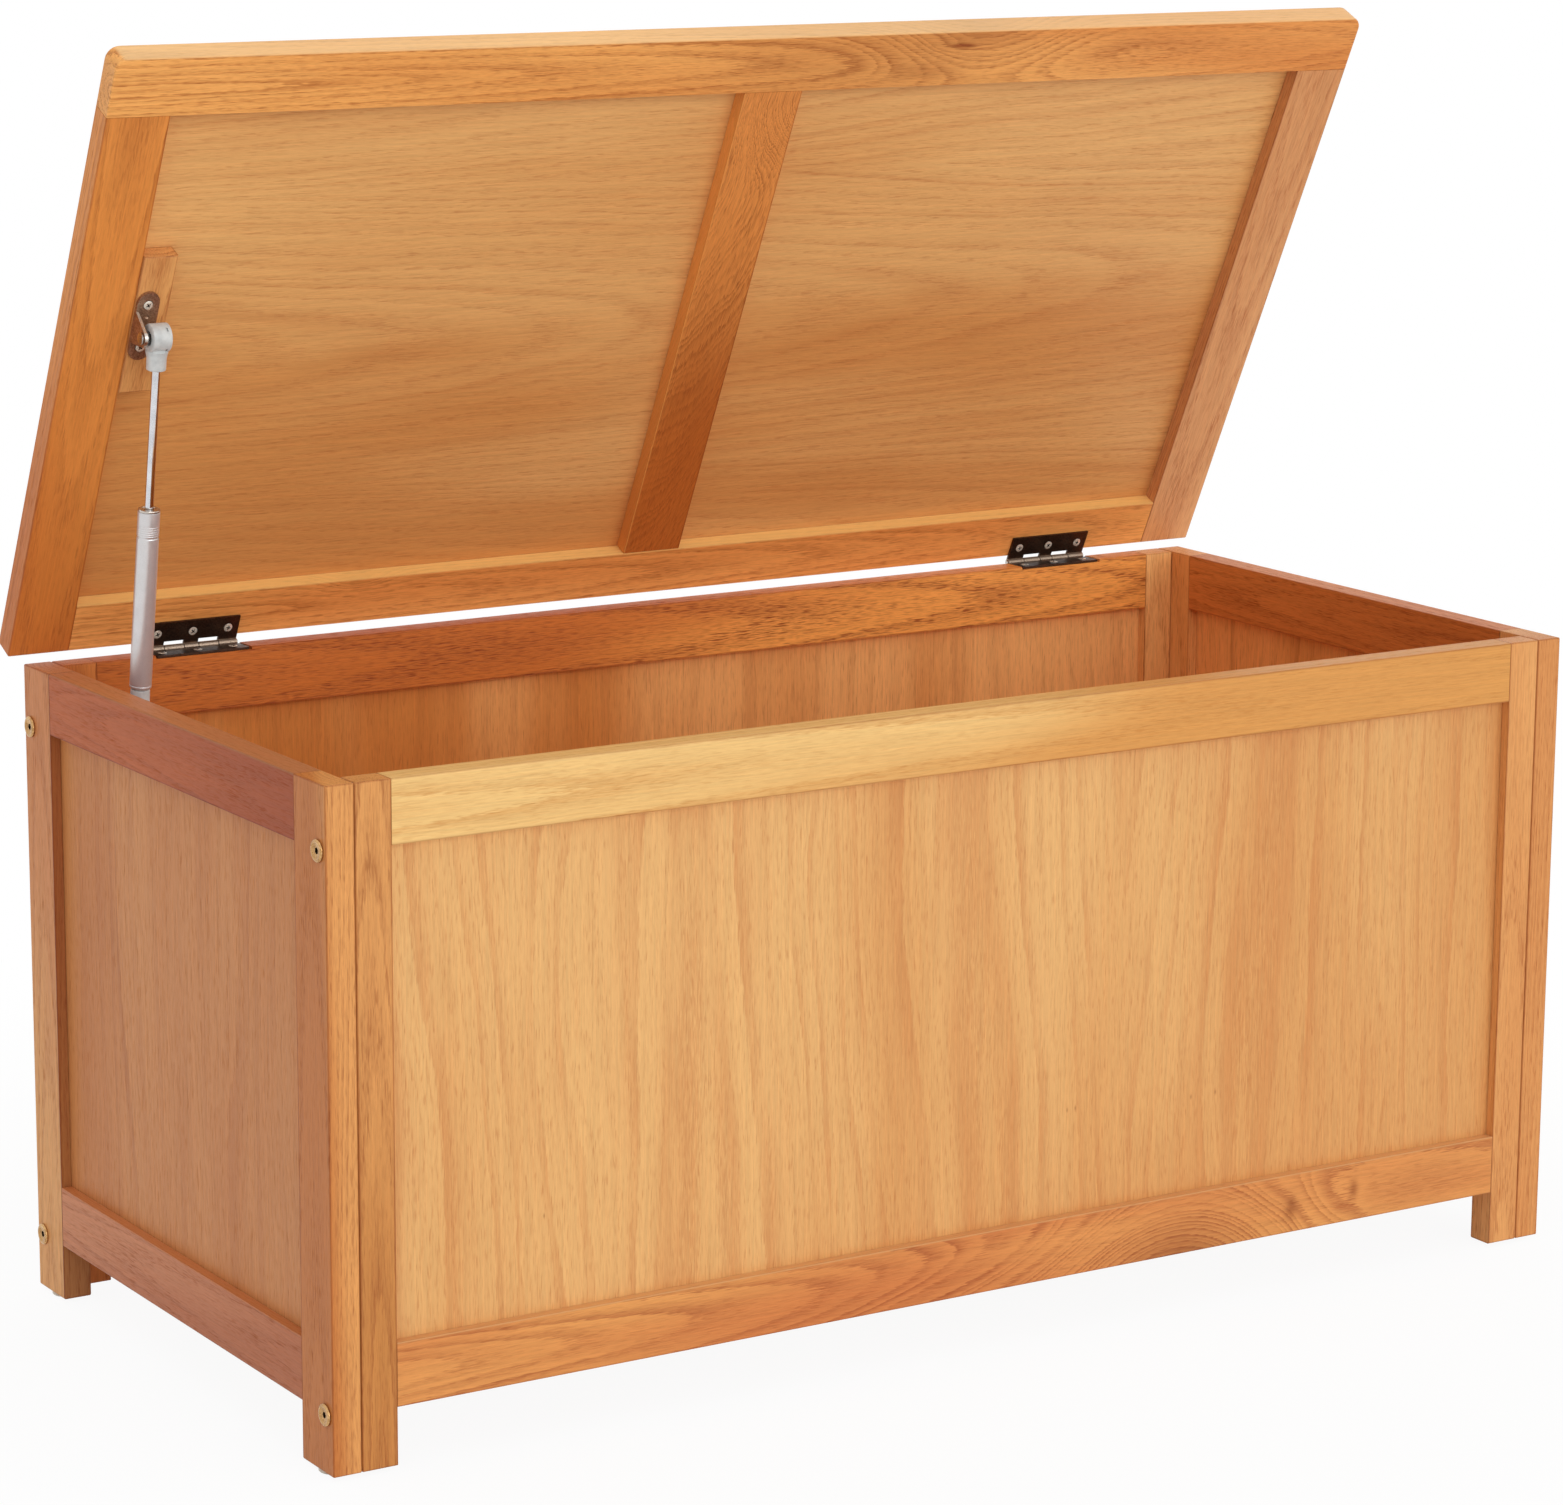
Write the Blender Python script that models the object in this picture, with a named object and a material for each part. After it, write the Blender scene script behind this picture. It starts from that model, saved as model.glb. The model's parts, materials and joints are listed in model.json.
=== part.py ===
"""Oak storage box on four legs, with a framed lid on two butt hinges that one gas strut holds open.

Metres, +Z up, the front toward -Y. The origin is on the floor, under the middle of the box with its lid open.
Four frame-and-panel sides stand between corner legs, and the lid is a frame of its own.
Sizes below are counted from the middle of the body, which sits on an empty of its own.
"""
import math

import bmesh
import bpy
from mathutils import Matrix, Vector

for old in list(bpy.data.objects):
    bpy.data.objects.remove(old, do_unlink=True)

# The body, without the lid
BODY_WIDTH = 0.980
BODY_DEPTH = 0.455
RIM_HEIGHT = 0.446
STOCK = 0.020
LEG_WIDTH = 0.0425
STILE_WIDTH = 0.025
TOP_RAIL = 0.042
BOTTOM_RAIL = 0.0425
FLOOR_CLEARANCE = 0.0415
ARRIS = 0.0010

# Panels and the joints that hold them
PANEL = 0.004
SIDE_RECESS = 0.0075
GROOVE = 0.008
PANEL_PLAY = 0.0008
SHOULDER = 0.005
SEAM = 0.0003

# The bottom board, let into the four bottom rails
BOARD = 0.006
BOARD_RISE = 0.012
BOARD_TONGUE = 0.0075

# The lid
LID_SIDE_OVERHANG = 0.010
LID_THICK = 0.018
LID_STILE = 0.0445
LID_FRONT_RAIL = 0.0425
LID_REAR_RAIL = 0.0375
LID_MULLION = 0.0465
LID_RECESS = 0.011
LID_CORNER = 0.009
LID_FRONT_OVERHANG = 0.010
LID_SETBACK = 0.0045
LID_GAP = 0.0025
LID_OPEN = 64.25

# The butt hinges
PIN_BACK = 0.0026
HINGE_INSET = 0.1265
HINGE_LENGTH = 0.070
LEAF_WIDTH = 0.0216
LEAF = 0.0016
BOX_LEAF_DROP = 0.0002
KNUCKLE_RADIUS = 0.0026
PIN_RADIUS = 0.0012
END_KNUCKLE = 0.0142
MIDDLE_KNUCKLE = 0.0110
LEAF_SLOT = 0.0056
PIN_HEAD_RADIUS = 0.0019
PIN_HEAD = 0.0006
MORTISE_PLAY = 0.0016

# The connector bolts through the legs, and the glides under them
BOLT_HEAD_RADIUS = 0.0074
BOLT_HEAD = 0.0020
BOLT_RADIUS = 0.003
BOLT_REACH = 0.0138
BOLT_SOCKET = 0.004
BOLT_SOCKET_DEPTH = 0.0024
BOLT_BELOW_RIM = 0.042
BOLT_ABOVE_FLOOR = 0.042
GLIDE = 0.003
GLIDE_RADIUS = 0.009
NAIL_RADIUS = 0.0013
NAIL_LENGTH = 0.013

# The gas strut and its fittings
STRUT_INSET = 0.0265
STRUT_LID_REACH = 0.268
STRUT_LID_DROP = 0.0174
STRUT_BOX_REACH = 0.0874
STRUT_BOX_DROP = 0.0283
BALL_RADIUS = 0.005
BALL_MOUTH = 0.0046
HEAD_RADIUS = 0.0097
HEAD_LENGTH = 0.0126
NECK_RADIUS = 0.0066
NECK_END = 0.022
NECK_THREAD = 0.0106
ROD_RADIUS = 0.003
TUBE_LENGTH = 0.127
TUBE_RADIUS = 0.0075
TUBE_WALL = 0.001
TUBE_END = 0.002
TUBE_ROLL = 0.0195
TUBE_ROLL_DEPTH = 0.0005
GUIDE_LIP = 0.0015
GUIDE_LENGTH = 0.017
PISTON = 0.007
PISTON_REST_GAP = 0.0005
BRACKET = 0.002
BRACKET_LENGTH = 0.052
BRACKET_WIDTH = 0.016
EAR_ROOT = 0.024
EAR_TIP_RADIUS = 0.006
EAR_TO_HEAD = 0.0032
STUD_RADIUS = 0.0024
STUD_BASE_RADIUS = 0.0042
STUD_BASE = 0.0012
BLOCK_WIDTH = 0.0245
BLOCK_LENGTH = 0.105
BLOCK_START = 0.215
BLOCK_PROUD = 0.001

# Sides of a turned shape, where it is wide and where it is slim
FINE = 24
COARSE = 16

# Where things are, worked out from the sizes above
PIN_Y = BODY_DEPTH / 2 + PIN_BACK
PIN_Z = RIM_HEIGHT
LID_WIDTH = BODY_WIDTH + 2 * LID_SIDE_OVERHANG
LID_DEPTH = BODY_DEPTH + PIN_BACK + LID_FRONT_OVERHANG - LID_SETBACK
INNER_X = BODY_WIDTH / 2 - STOCK
INNER_Y = BODY_DEPTH / 2 - STOCK
STRUT_X = -INNER_X + STRUT_INSET
OPEN = math.radians(LID_OPEN)
HEEL_Y = (
    PIN_Y
    - LID_SETBACK * math.cos(OPEN)
    + (LID_GAP + LID_THICK) * math.sin(OPEN)
    - ARRIS * (math.cos(OPEN) + math.sin(OPEN) - 1)
)

COLOURS = {
    "oak": ((0.53, 0.27, 0.10), 0.45, 0.0),
    "pale oak": ((0.68, 0.42, 0.19), 0.45, 0.0),
    "veneer": ((0.60, 0.33, 0.13), 0.40, 0.0),
    "bronzed steel": ((0.035, 0.028, 0.024), 0.35, 0.9),
    "nickel": ((0.55, 0.50, 0.44), 0.25, 1.0),
    "brass": ((0.50, 0.42, 0.25), 0.30, 1.0),
    "steel tube": ((0.62, 0.61, 0.60), 0.30, 0.8),
    "grey plastic": ((0.55, 0.55, 0.54), 0.50, 0.0),
    "pale plastic": ((0.62, 0.58, 0.50), 0.60, 0.0),
}


def finish_of(name, kind):
    """One material for one piece, in the colour of its kind."""
    colour, roughness, metallic = COLOURS[kind]
    material = bpy.data.materials.new(name)
    material.use_nodes = True
    shader = material.node_tree.nodes["Principled BSDF"]
    shader.inputs["Base Color"].default_value = (*colour, 1.0)
    shader.inputs["Roughness"].default_value = roughness
    shader.inputs["Metallic"].default_value = metallic
    return material


def put(name, mesh, kind, place=(0, 0, 0), turn=(0, 0, 0), parent=None):
    """Puts a mesh into the scene as the named piece, on the body's seat unless it has a parent of its own."""
    piece = bpy.data.objects.new(name, mesh)
    bpy.context.scene.collection.objects.link(piece)
    piece.parent = parent or body_seat
    piece.location = place
    piece.rotation_euler = turn
    if kind:
        if not mesh.materials:
            mesh.materials.append(None)
        piece.material_slots[0].link = "OBJECT"
        piece.material_slots[0].material = finish_of(name, kind)
    return piece


def axis_at(name, place, turn=(0, 0, 0), parent=None):
    """An empty that carries the pieces of one frame or one joint."""
    empty = bpy.data.objects.new(name, None)
    bpy.context.scene.collection.objects.link(empty)
    empty.parent = parent
    empty.location = place
    empty.rotation_euler = turn
    return empty


# The body stands so that the open lid's heel reaches as far behind the origin as the front face is before it
body_seat = axis_at("body_seat", (0, (BODY_DEPTH / 2 - HEEL_Y) / 2, 0))


def mesh_of(name, bm):
    """Closes a bmesh into a mesh with its faces pointing out."""
    bmesh.ops.recalc_face_normals(bm, faces=bm.faces)
    mesh = bpy.data.meshes.new(name)
    bm.to_mesh(mesh)
    bm.free()
    return mesh


def block(lo, hi):
    """A box between two corners."""
    bm = bmesh.new()
    add_block(bm, lo, hi)
    return bm


def add_block(bm, lo, hi):
    """Adds a box between two corners to a bmesh."""
    size = [b - a for a, b in zip(lo, hi)]
    middle = [(a + b) / 2 for a, b in zip(lo, hi)]
    where = Matrix.Translation(middle) @ Matrix.Diagonal((*size, 1.0))
    bmesh.ops.create_cube(bm, size=1.0, matrix=where)


def along(way, axis):
    """Whether a direction lies along an axis, to within some 25 degrees."""
    return abs(way[axis]) > 0.9


def soften(bm, wanted, radius, steps=2):
    """Rounds the edges whose middle and direction the test picks."""
    picked = []
    for edge in bm.edges:
        a, b = (v.co for v in edge.verts)
        if wanted((a + b) / 2, (b - a).normalized()):
            picked.append(edge)
    bmesh.ops.bevel(
        bm, geom=picked, offset=radius, segments=steps, profile=0.5, affect="EDGES", clamp_overlap=True
    )


def tongue(bm, axis, side, lo, hi, length):
    """Draws a tenon out of a bar's end face: loop cuts round its section, then an extrusion."""
    end = side * max(side * v.co[axis] for v in bm.verts)
    across = [i for i in range(3) if i != axis]
    for i, across_axis in enumerate(across):
        for value in (lo[i], hi[i]):
            faces = [f for f in bm.faces if all(abs(v.co[axis] - end) < 1e-6 for v in f.verts)]
            edges = {e for f in faces for e in f.edges}
            verts = {v for f in faces for v in f.verts}
            point = Vector((0, 0, 0))
            point[across_axis] = value
            normal = Vector((0, 0, 0))
            normal[across_axis] = 1.0
            bmesh.ops.bisect_plane(
                bm, geom=[*faces, *edges, *verts], dist=1e-7, plane_co=point, plane_no=normal
            )
    for face in bm.faces:
        if not all(abs(v.co[axis] - end) < 1e-6 for v in face.verts):
            continue
        centre = face.calc_center_median()
        if all(lo[i] < centre[a] < hi[i] for i, a in enumerate(across)):
            out = bmesh.ops.extrude_face_region(bm, geom=[face])
            move = Vector((0, 0, 0))
            move[axis] = side * length
            grown = [v for v in out["geom"] if isinstance(v, bmesh.types.BMVert)]
            bmesh.ops.translate(bm, vec=move, verts=grown)
            bmesh.ops.delete(bm, geom=[face], context="FACES")
            return


def turned(profile, steps, closed=False):
    """Spins a profile of (radius, height) points about Z. A closed profile makes a ring or a sleeve."""
    bm = bmesh.new()
    verts = [bm.verts.new((r, 0, z)) for r, z in profile]
    edges = [bm.edges.new(pair) for pair in zip(verts, verts[1:])]
    if closed:
        edges.append(bm.edges.new((verts[-1], verts[0])))
    bmesh.ops.spin(bm, geom=[*verts, *edges], cent=(0, 0, 0), axis=(0, 0, 1), angle=math.tau, steps=steps)
    bmesh.ops.remove_doubles(bm, verts=bm.verts, dist=1e-6)
    return bm


def rod(radius, start, end, steps=COARSE):
    """A plain cylinder on Z between two heights."""
    return turned([(0, start), (radius, start), (radius, end), (0, end)], steps)


def along_x(bm):
    """Lays a piece made on Z along X, its top toward +X."""
    bmesh.ops.rotate(bm, verts=bm.verts, cent=(0, 0, 0), matrix=Matrix.Rotation(math.pi / 2, 3, "Y"))
    return bm


def outline(points, thickness):
    """A flat plate on the XY plane from its outline, thickness upward."""
    bm = bmesh.new()
    face = bm.faces.new([bm.verts.new((x, y, 0)) for x, y in points])
    out = bmesh.ops.extrude_face_region(bm, geom=[face])
    grown = [v for v in out["geom"] if isinstance(v, bmesh.types.BMVert)]
    bmesh.ops.translate(bm, vec=(0, 0, thickness), verts=grown)
    return bm


def helper(name, bm, place=(0, 0, 0), turn=(0, 0, 0), parent=None):
    """A cutter: it shapes other pieces and isn't one itself."""
    tool = put(name, mesh_of(name, bm), None, place, turn, parent)
    tool.hide_render = True
    tool.display_type = "WIRE"
    return tool


def shape(piece, tool, operation="DIFFERENCE"):
    """Cuts a piece by a tool, or joins the tool to it."""
    step = piece.modifiers.new(tool.name, "BOOLEAN")
    step.operation = operation
    step.solver = "EXACT"
    step.object = tool


def made_from(name, bm, steps):
    """A mesh after its cuts and joins, for pieces that share it."""
    blank = helper(name + "_blank", bm)
    tools = []
    for i, (operation, tool_bm) in enumerate(steps):
        tool = helper(f"{name}_tool_{i}", tool_bm)
        shape(blank, tool, operation)
        tools.append(tool)
    graph = bpy.context.evaluated_depsgraph_get()
    mesh = bpy.data.meshes.new_from_object(blank.evaluated_get(graph))
    mesh.name = name
    for used in [blank, *tools]:
        bpy.data.objects.remove(used, do_unlink=True)
    return mesh


def polish(mesh, degrees=35):
    """Smooth shading on the round faces, with the real edges kept crisp."""
    mesh.shade_smooth()
    mesh.set_sharp_from_angle(angle=math.radians(degrees))
    return mesh


# A side of the body is a frame. Seen from outside, X runs left to right, Y goes inward and Z is up.
def build_frame(side, seat, width, upright_width, uprights, kinds):
    """Two uprights, two rails with stub tenons, and a thin panel in the groove round the opening."""
    half = width / 2
    inner = half - upright_width
    groove_lo = SIDE_RECESS - SEAM
    groove_hi = SIDE_RECESS + PANEL + SEAM
    rail_bottom = FLOOR_CLEARANCE
    rail_top = FLOOR_CLEARANCE + BOTTOM_RAIL
    top_bottom = RIM_HEIGHT - TOP_RAIL
    uprights_groove = helper(
        f"{side}_upright_groove_cutter",
        block(
            (-inner - GROOVE, groove_lo, rail_bottom + SHOULDER),
            (inner + GROOVE, groove_hi, RIM_HEIGHT - SHOULDER),
        ),
        parent=seat,
    )
    rails_groove = helper(
        f"{side}_rail_groove_cutter",
        block(
            (-half, groove_lo, rail_top - GROOVE),
            (half, groove_hi, top_bottom + GROOVE),
        ),
        parent=seat,
    )
    made = {}
    for hand, name in zip((-1, 1), uprights):
        lo = min(hand * half, hand * inner)
        hi = max(hand * half, hand * inner)
        bm = block((lo, 0, GLIDE), (hi, STOCK, RIM_HEIGHT))
        soften(bm, lambda middle, way: abs(middle.x - hand * inner) > 1e-5, ARRIS)
        full_name = f"{side}_{name}" if side in ("front", "back") else name
        piece = put(full_name, mesh_of(name, bm), kinds[0], parent=seat)
        shape(piece, uprights_groove)
        made[name] = piece
    reach = GROOVE - SEAM
    rail_half = inner - SEAM
    for name, z0, z1, free_edge in (
        ("bottom_rail", rail_bottom, rail_top, rail_bottom),
        ("top_rail", top_bottom, RIM_HEIGHT, RIM_HEIGHT),
    ):
        bm = block((-rail_half, 0, z0), (rail_half, STOCK, z1))
        soften(bm, lambda middle, way: abs(middle.z - free_edge) < 1e-5 and along(way, 0), ARRIS)
        if free_edge == z0:
            low, high = z0 + SHOULDER + SEAM, z1 - GROOVE - SEAM
        else:
            low, high = z0 + GROOVE + SEAM, z1 - SHOULDER - SEAM
        for hand in (-1, 1):
            tongue(bm, 0, hand, (SIDE_RECESS, low), (SIDE_RECESS + PANEL, high), reach)
        kind = kinds[1] if name == "top_rail" else kinds[0]
        piece = put(f"{side}_{name}", mesh_of(f"{side}_{name}", bm), kind, parent=seat)
        shape(piece, rails_groove)
        made[name] = piece
    grow = GROOVE - PANEL_PLAY
    bm = block(
        (-inner - grow, SIDE_RECESS, rail_top - grow),
        (inner + grow, SIDE_RECESS + PANEL, top_bottom + grow),
    )
    made["panel"] = put(f"{side}_panel", mesh_of(f"{side}_panel", bm), "veneer", parent=seat)
    return made


quarter = math.pi / 2
front_width = 2 * (INNER_X - SEAM)
seats = {
    "left": axis_at("left_seat", (-BODY_WIDTH / 2, 0, 0), (0, 0, -quarter), body_seat),
    "right": axis_at("right_seat", (BODY_WIDTH / 2, 0, 0), (0, 0, quarter), body_seat),
    "front": axis_at("front_seat", (0, -BODY_DEPTH / 2, 0), (0, 0, 0), body_seat),
    "back": axis_at("back_seat", (0, BODY_DEPTH / 2, 0), (0, 0, math.pi), body_seat),
}
left = build_frame(
    "left", seats["left"], BODY_DEPTH, LEG_WIDTH, ("left_rear_leg", "left_front_leg"), ("oak", "oak")
)
right = build_frame(
    "right", seats["right"], BODY_DEPTH, LEG_WIDTH, ("right_front_leg", "right_rear_leg"), ("oak", "oak")
)
front = build_frame(
    "front", seats["front"], front_width, STILE_WIDTH, ("left_stile", "right_stile"), ("oak", "pale oak")
)
back = build_frame(
    "back", seats["back"], front_width, STILE_WIDTH, ("right_stile", "left_stile"), ("oak", "oak")
)

# The bottom board slides in grooves on the inside of the four bottom rails, notched round the corners
board_lo = FLOOR_CLEARANCE + BOARD_RISE
board_hi = board_lo + BOARD
side_room = helper(
    "board_groove_side_cutter",
    block(
        (-INNER_X - BOARD_TONGUE - SEAM, -BODY_DEPTH / 2, board_lo - SEAM),
        (INNER_X + BOARD_TONGUE + SEAM, BODY_DEPTH / 2, board_hi + SEAM),
    ),
)
end_room = helper(
    "board_groove_front_cutter",
    block(
        (-BODY_WIDTH / 2, -INNER_Y - BOARD_TONGUE - SEAM, board_lo - SEAM),
        (BODY_WIDTH / 2, INNER_Y + BOARD_TONGUE + SEAM, board_hi + SEAM),
    ),
)
for frame, room in ((left, side_room), (right, side_room), (front, end_room), (back, end_room)):
    shape(frame["bottom_rail"], room)

leg_line = BODY_DEPTH / 2 - LEG_WIDTH
stile_line = front_width / 2 - STILE_WIDTH
board = put(
    "bottom_board",
    mesh_of(
        "bottom_board",
        block(
            (-INNER_X + SEAM, -INNER_Y + SEAM, board_lo),
            (INNER_X - SEAM, INNER_Y - SEAM, board_hi),
        ),
    ),
    "veneer",
)
shape(
    board,
    helper(
        "board_side_tongues",
        block(
            (-INNER_X - BOARD_TONGUE, -leg_line + 2 * SEAM, board_lo),
            (INNER_X + BOARD_TONGUE, leg_line - 2 * SEAM, board_hi),
        ),
    ),
    "UNION",
)
shape(
    board,
    helper(
        "board_front_tongues",
        block(
            (-stile_line + 2 * SEAM, -INNER_Y - BOARD_TONGUE, board_lo),
            (stile_line - 2 * SEAM, INNER_Y + BOARD_TONGUE, board_hi),
        ),
    ),
    "UNION",
)

# Connector bolts: a wide flat head on the leg, a shank through it and into the edge of the stile
shank = STOCK + BOLT_REACH
corner_reach = BOLT_SOCKET / math.sqrt(3)
hexagon = [
    (corner_reach * math.cos(math.tau * i / 6), corner_reach * math.sin(math.tau * i / 6)) for i in range(6)
]
socket = outline(hexagon, BOLT_SOCKET_DEPTH + BOLT_HEAD)
bmesh.ops.translate(socket, vec=(0, 0, BOLT_HEAD - BOLT_SOCKET_DEPTH), verts=socket.verts)
bolt_mesh = polish(
    made_from(
        "connector_bolt",
        turned(
            [
                (0, -shank),
                (BOLT_RADIUS - 0.0008, -shank),
                (BOLT_RADIUS, -shank + 0.0008),
                (BOLT_RADIUS, SEAM),
                (BOLT_HEAD_RADIUS - 0.0003, SEAM),
                (BOLT_HEAD_RADIUS, SEAM + 0.0004),
                (BOLT_HEAD_RADIUS - 0.0002, BOLT_HEAD - 0.0007),
                (BOLT_HEAD_RADIUS - 0.0012, BOLT_HEAD - 0.0001),
                (BOLT_HEAD_RADIUS - 0.0028, BOLT_HEAD),
                (0, BOLT_HEAD),
            ],
            FINE,
        ),
        [("DIFFERENCE", socket)],
    )
)
glide_mesh = polish(
    mesh_of(
        "glide",
        turned(
            [
                (0, 0),
                (GLIDE_RADIUS - 0.0008, 0),
                (GLIDE_RADIUS, 0.0008),
                (GLIDE_RADIUS, GLIDE - SEAM),
                (NAIL_RADIUS, GLIDE - SEAM),
                (NAIL_RADIUS, GLIDE + NAIL_LENGTH - 0.002),
                (0, GLIDE + NAIL_LENGTH),
            ],
            FINE,
        ),
    )
)
leg_pieces = {
    "left_front": (left["left_front_leg"], front["left_stile"]),
    "left_rear": (left["left_rear_leg"], back["left_stile"]),
    "right_front": (right["right_front_leg"], front["right_stile"]),
    "right_rear": (right["right_rear_leg"], back["right_stile"]),
}
for corner, (leg, stile) in leg_pieces.items():
    hand = -1 if corner.startswith("left") else 1
    row = -1 if corner.endswith("front") else 1
    bolt_y = row * (BODY_DEPTH / 2 - STOCK / 2)
    drill = bmesh.new()
    for level, height in (("upper", RIM_HEIGHT - BOLT_BELOW_RIM), ("lower", BOLT_ABOVE_FLOOR)):
        put(
            f"bolt_{corner}_{level}",
            bolt_mesh,
            "brass",
            (hand * BODY_WIDTH / 2, bolt_y, height),
            (0, hand * quarter, 0),
        )
        hole = rod(BOLT_RADIUS + SEAM, -shank - SEAM - 0.0004, STOCK, COARSE)
        entry = Matrix.Translation((hand * BODY_WIDTH / 2, bolt_y, height))
        bmesh.ops.transform(hole, matrix=entry @ Matrix.Rotation(hand * quarter, 4, "Y"), verts=hole.verts)
        part = mesh_of("hole", hole)
        drill.from_mesh(part)
        bpy.data.meshes.remove(part)
    shape(stile, helper(f"{corner}_bolt_cutter", drill))
    shape(leg, bpy.data.objects[f"{corner}_bolt_cutter"])
    foot = (hand * (BODY_WIDTH / 2 - STOCK / 2), row * (BODY_DEPTH / 2 - LEG_WIDTH / 2), 0)
    put(f"glide_{corner}", glide_mesh, "pale plastic", foot)
    nail_hole = rod(NAIL_RADIUS + SEAM, 0, GLIDE + NAIL_LENGTH + SEAM, COARSE)
    shape(leg, helper(f"{corner}_nail_cutter", nail_hole, foot))

# The lid turns about the pins. On its axis X runs along the pins, -Y to the front edge, and Z up when it is shut
lid_axis = axis_at("lid_axis", (0, PIN_Y, PIN_Z), (-OPEN, 0, 0), body_seat)
under = LID_GAP
over = LID_GAP + LID_THICK
rear = -LID_SETBACK
fore = -LID_SETBACK - LID_DEPTH
rear_inner = rear - LID_REAR_RAIL
fore_inner = fore + LID_FRONT_RAIL
stile_inner = LID_WIDTH / 2 - LID_STILE
panel_lo = under + LID_RECESS
panel_hi = panel_lo + PANEL

rails_room = helper(
    "lid_rail_groove_cutter",
    block(
        (-LID_WIDTH / 2 + SHOULDER, fore_inner - GROOVE, panel_lo - SEAM),
        (LID_WIDTH / 2 - SHOULDER, rear_inner + GROOVE, panel_hi + SEAM),
    ),
    parent=lid_axis,
)
stiles_room = helper(
    "lid_stile_groove_cutter",
    block(
        (-stile_inner - GROOVE, fore, panel_lo - SEAM),
        (stile_inner + GROOVE, rear - SHOULDER, panel_hi + SEAM),
    ),
    parent=lid_axis,
)
mullion_sides = block(
    (-stile_inner, fore, panel_lo - SEAM),
    (-LID_MULLION / 2 + GROOVE, rear, panel_hi + SEAM),
)
add_block(
    mullion_sides,
    (LID_MULLION / 2 - GROOVE, fore, panel_lo - SEAM),
    (stile_inner, rear, panel_hi + SEAM),
)
mullion_room = helper("lid_mullion_groove_cutter", mullion_sides, parent=lid_axis)

bm = block((-LID_WIDTH / 2, fore, under), (LID_WIDTH / 2, fore_inner, over))
soften(bm, lambda middle, way: along(way, 2) and middle.y < (fore + fore_inner) / 2, LID_CORNER, 6)
soften(
    bm,
    lambda middle, way: middle.y < fore_inner - 1e-5 and abs(way.z) < 0.1 and abs(way.x) > 0.01
    or abs(abs(middle.x) - LID_WIDTH / 2) < 1e-5 and along(way, 1),
    ARRIS,
)
lid_front = put("lid_front_rail", mesh_of("lid_front_rail", bm), "oak", parent=lid_axis)
shape(lid_front, rails_room)

for hand, name in ((-1, "lid_left_stile"), (1, "lid_right_stile")):
    lo = min(hand * LID_WIDTH / 2, hand * stile_inner)
    hi = max(hand * LID_WIDTH / 2, hand * stile_inner)
    bm = block((lo, fore_inner + SEAM, under), (hi, rear, over))
    soften(
        bm,
        lambda middle, way: abs(middle.x - hand * stile_inner) > 1e-5 and middle.y > fore_inner + 2 * SEAM,
        ARRIS,
    )
    low = lo + SHOULDER + SEAM if hand < 0 else lo + GROOVE + SEAM
    high = hi - GROOVE - SEAM if hand < 0 else hi - SHOULDER - SEAM
    tongue(bm, 1, -1, (low, panel_lo), (high, panel_hi), GROOVE - SEAM)
    shape(put(name, mesh_of(name, bm), "oak", parent=lid_axis), stiles_room)

bm = block((-stile_inner + SEAM, rear_inner, under), (stile_inner - SEAM, rear, over))
soften(bm, lambda middle, way: abs(middle.y - rear) < 1e-5 and along(way, 0), ARRIS)
for hand in (-1, 1):
    tongue(
        bm, 0, hand, (rear_inner + GROOVE + SEAM, panel_lo), (rear - SHOULDER - SEAM, panel_hi), GROOVE - SEAM
    )
shape(put("lid_rear_rail", mesh_of("lid_rear_rail", bm), "oak", parent=lid_axis), rails_room)

bm = block((-LID_MULLION / 2, fore_inner + SEAM, under), (LID_MULLION / 2, rear_inner - SEAM, over))
for hand in (-1, 1):
    tongue(
        bm,
        1,
        hand,
        (-LID_MULLION / 2 + GROOVE + SEAM, panel_lo),
        (LID_MULLION / 2 - GROOVE - SEAM, panel_hi),
        GROOVE - SEAM,
    )
shape(put("lid_mullion", mesh_of("lid_mullion", bm), "oak", parent=lid_axis), mullion_room)

grow = GROOVE - PANEL_PLAY
for hand, name in ((-1, "lid_left_panel"), (1, "lid_right_panel")):
    ends = sorted((hand * (LID_MULLION / 2 - grow), hand * (stile_inner + grow)))
    bm = block((ends[0], fore_inner - grow, panel_lo), (ends[1], rear_inner + grow, panel_hi))
    put(name, mesh_of(name, bm), "veneer", parent=lid_axis)

# The block that carries the strut's bracket, let into the corner of the lid's left panel
block_x = -stile_inner + SEAM
block_face = under - BLOCK_PROUD
bm = block(
    (block_x, -BLOCK_START - BLOCK_LENGTH, block_face),
    (block_x + BLOCK_WIDTH, -BLOCK_START, panel_lo - SEAM),
)
soften(bm, lambda middle, way: abs(middle.z - block_face) < 1e-5, ARRIS)
put("strut_block", mesh_of("strut_block", bm), "oak", parent=lid_axis)

# Butt hinges. A leaf is a plate with its knuckles rolled on one edge, slotted where the other leaf turns
slot_length = (HINGE_LENGTH - 2 * END_KNUCKLE - MIDDLE_KNUCKLE) / 2
marks = [-HINGE_LENGTH / 2]
for length in (END_KNUCKLE, slot_length, MIDDLE_KNUCKLE, slot_length, END_KNUCKLE):
    marks.append(marks[-1] + length)
lid_leaf_floor = LID_GAP - SEAM - LEAF


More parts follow.
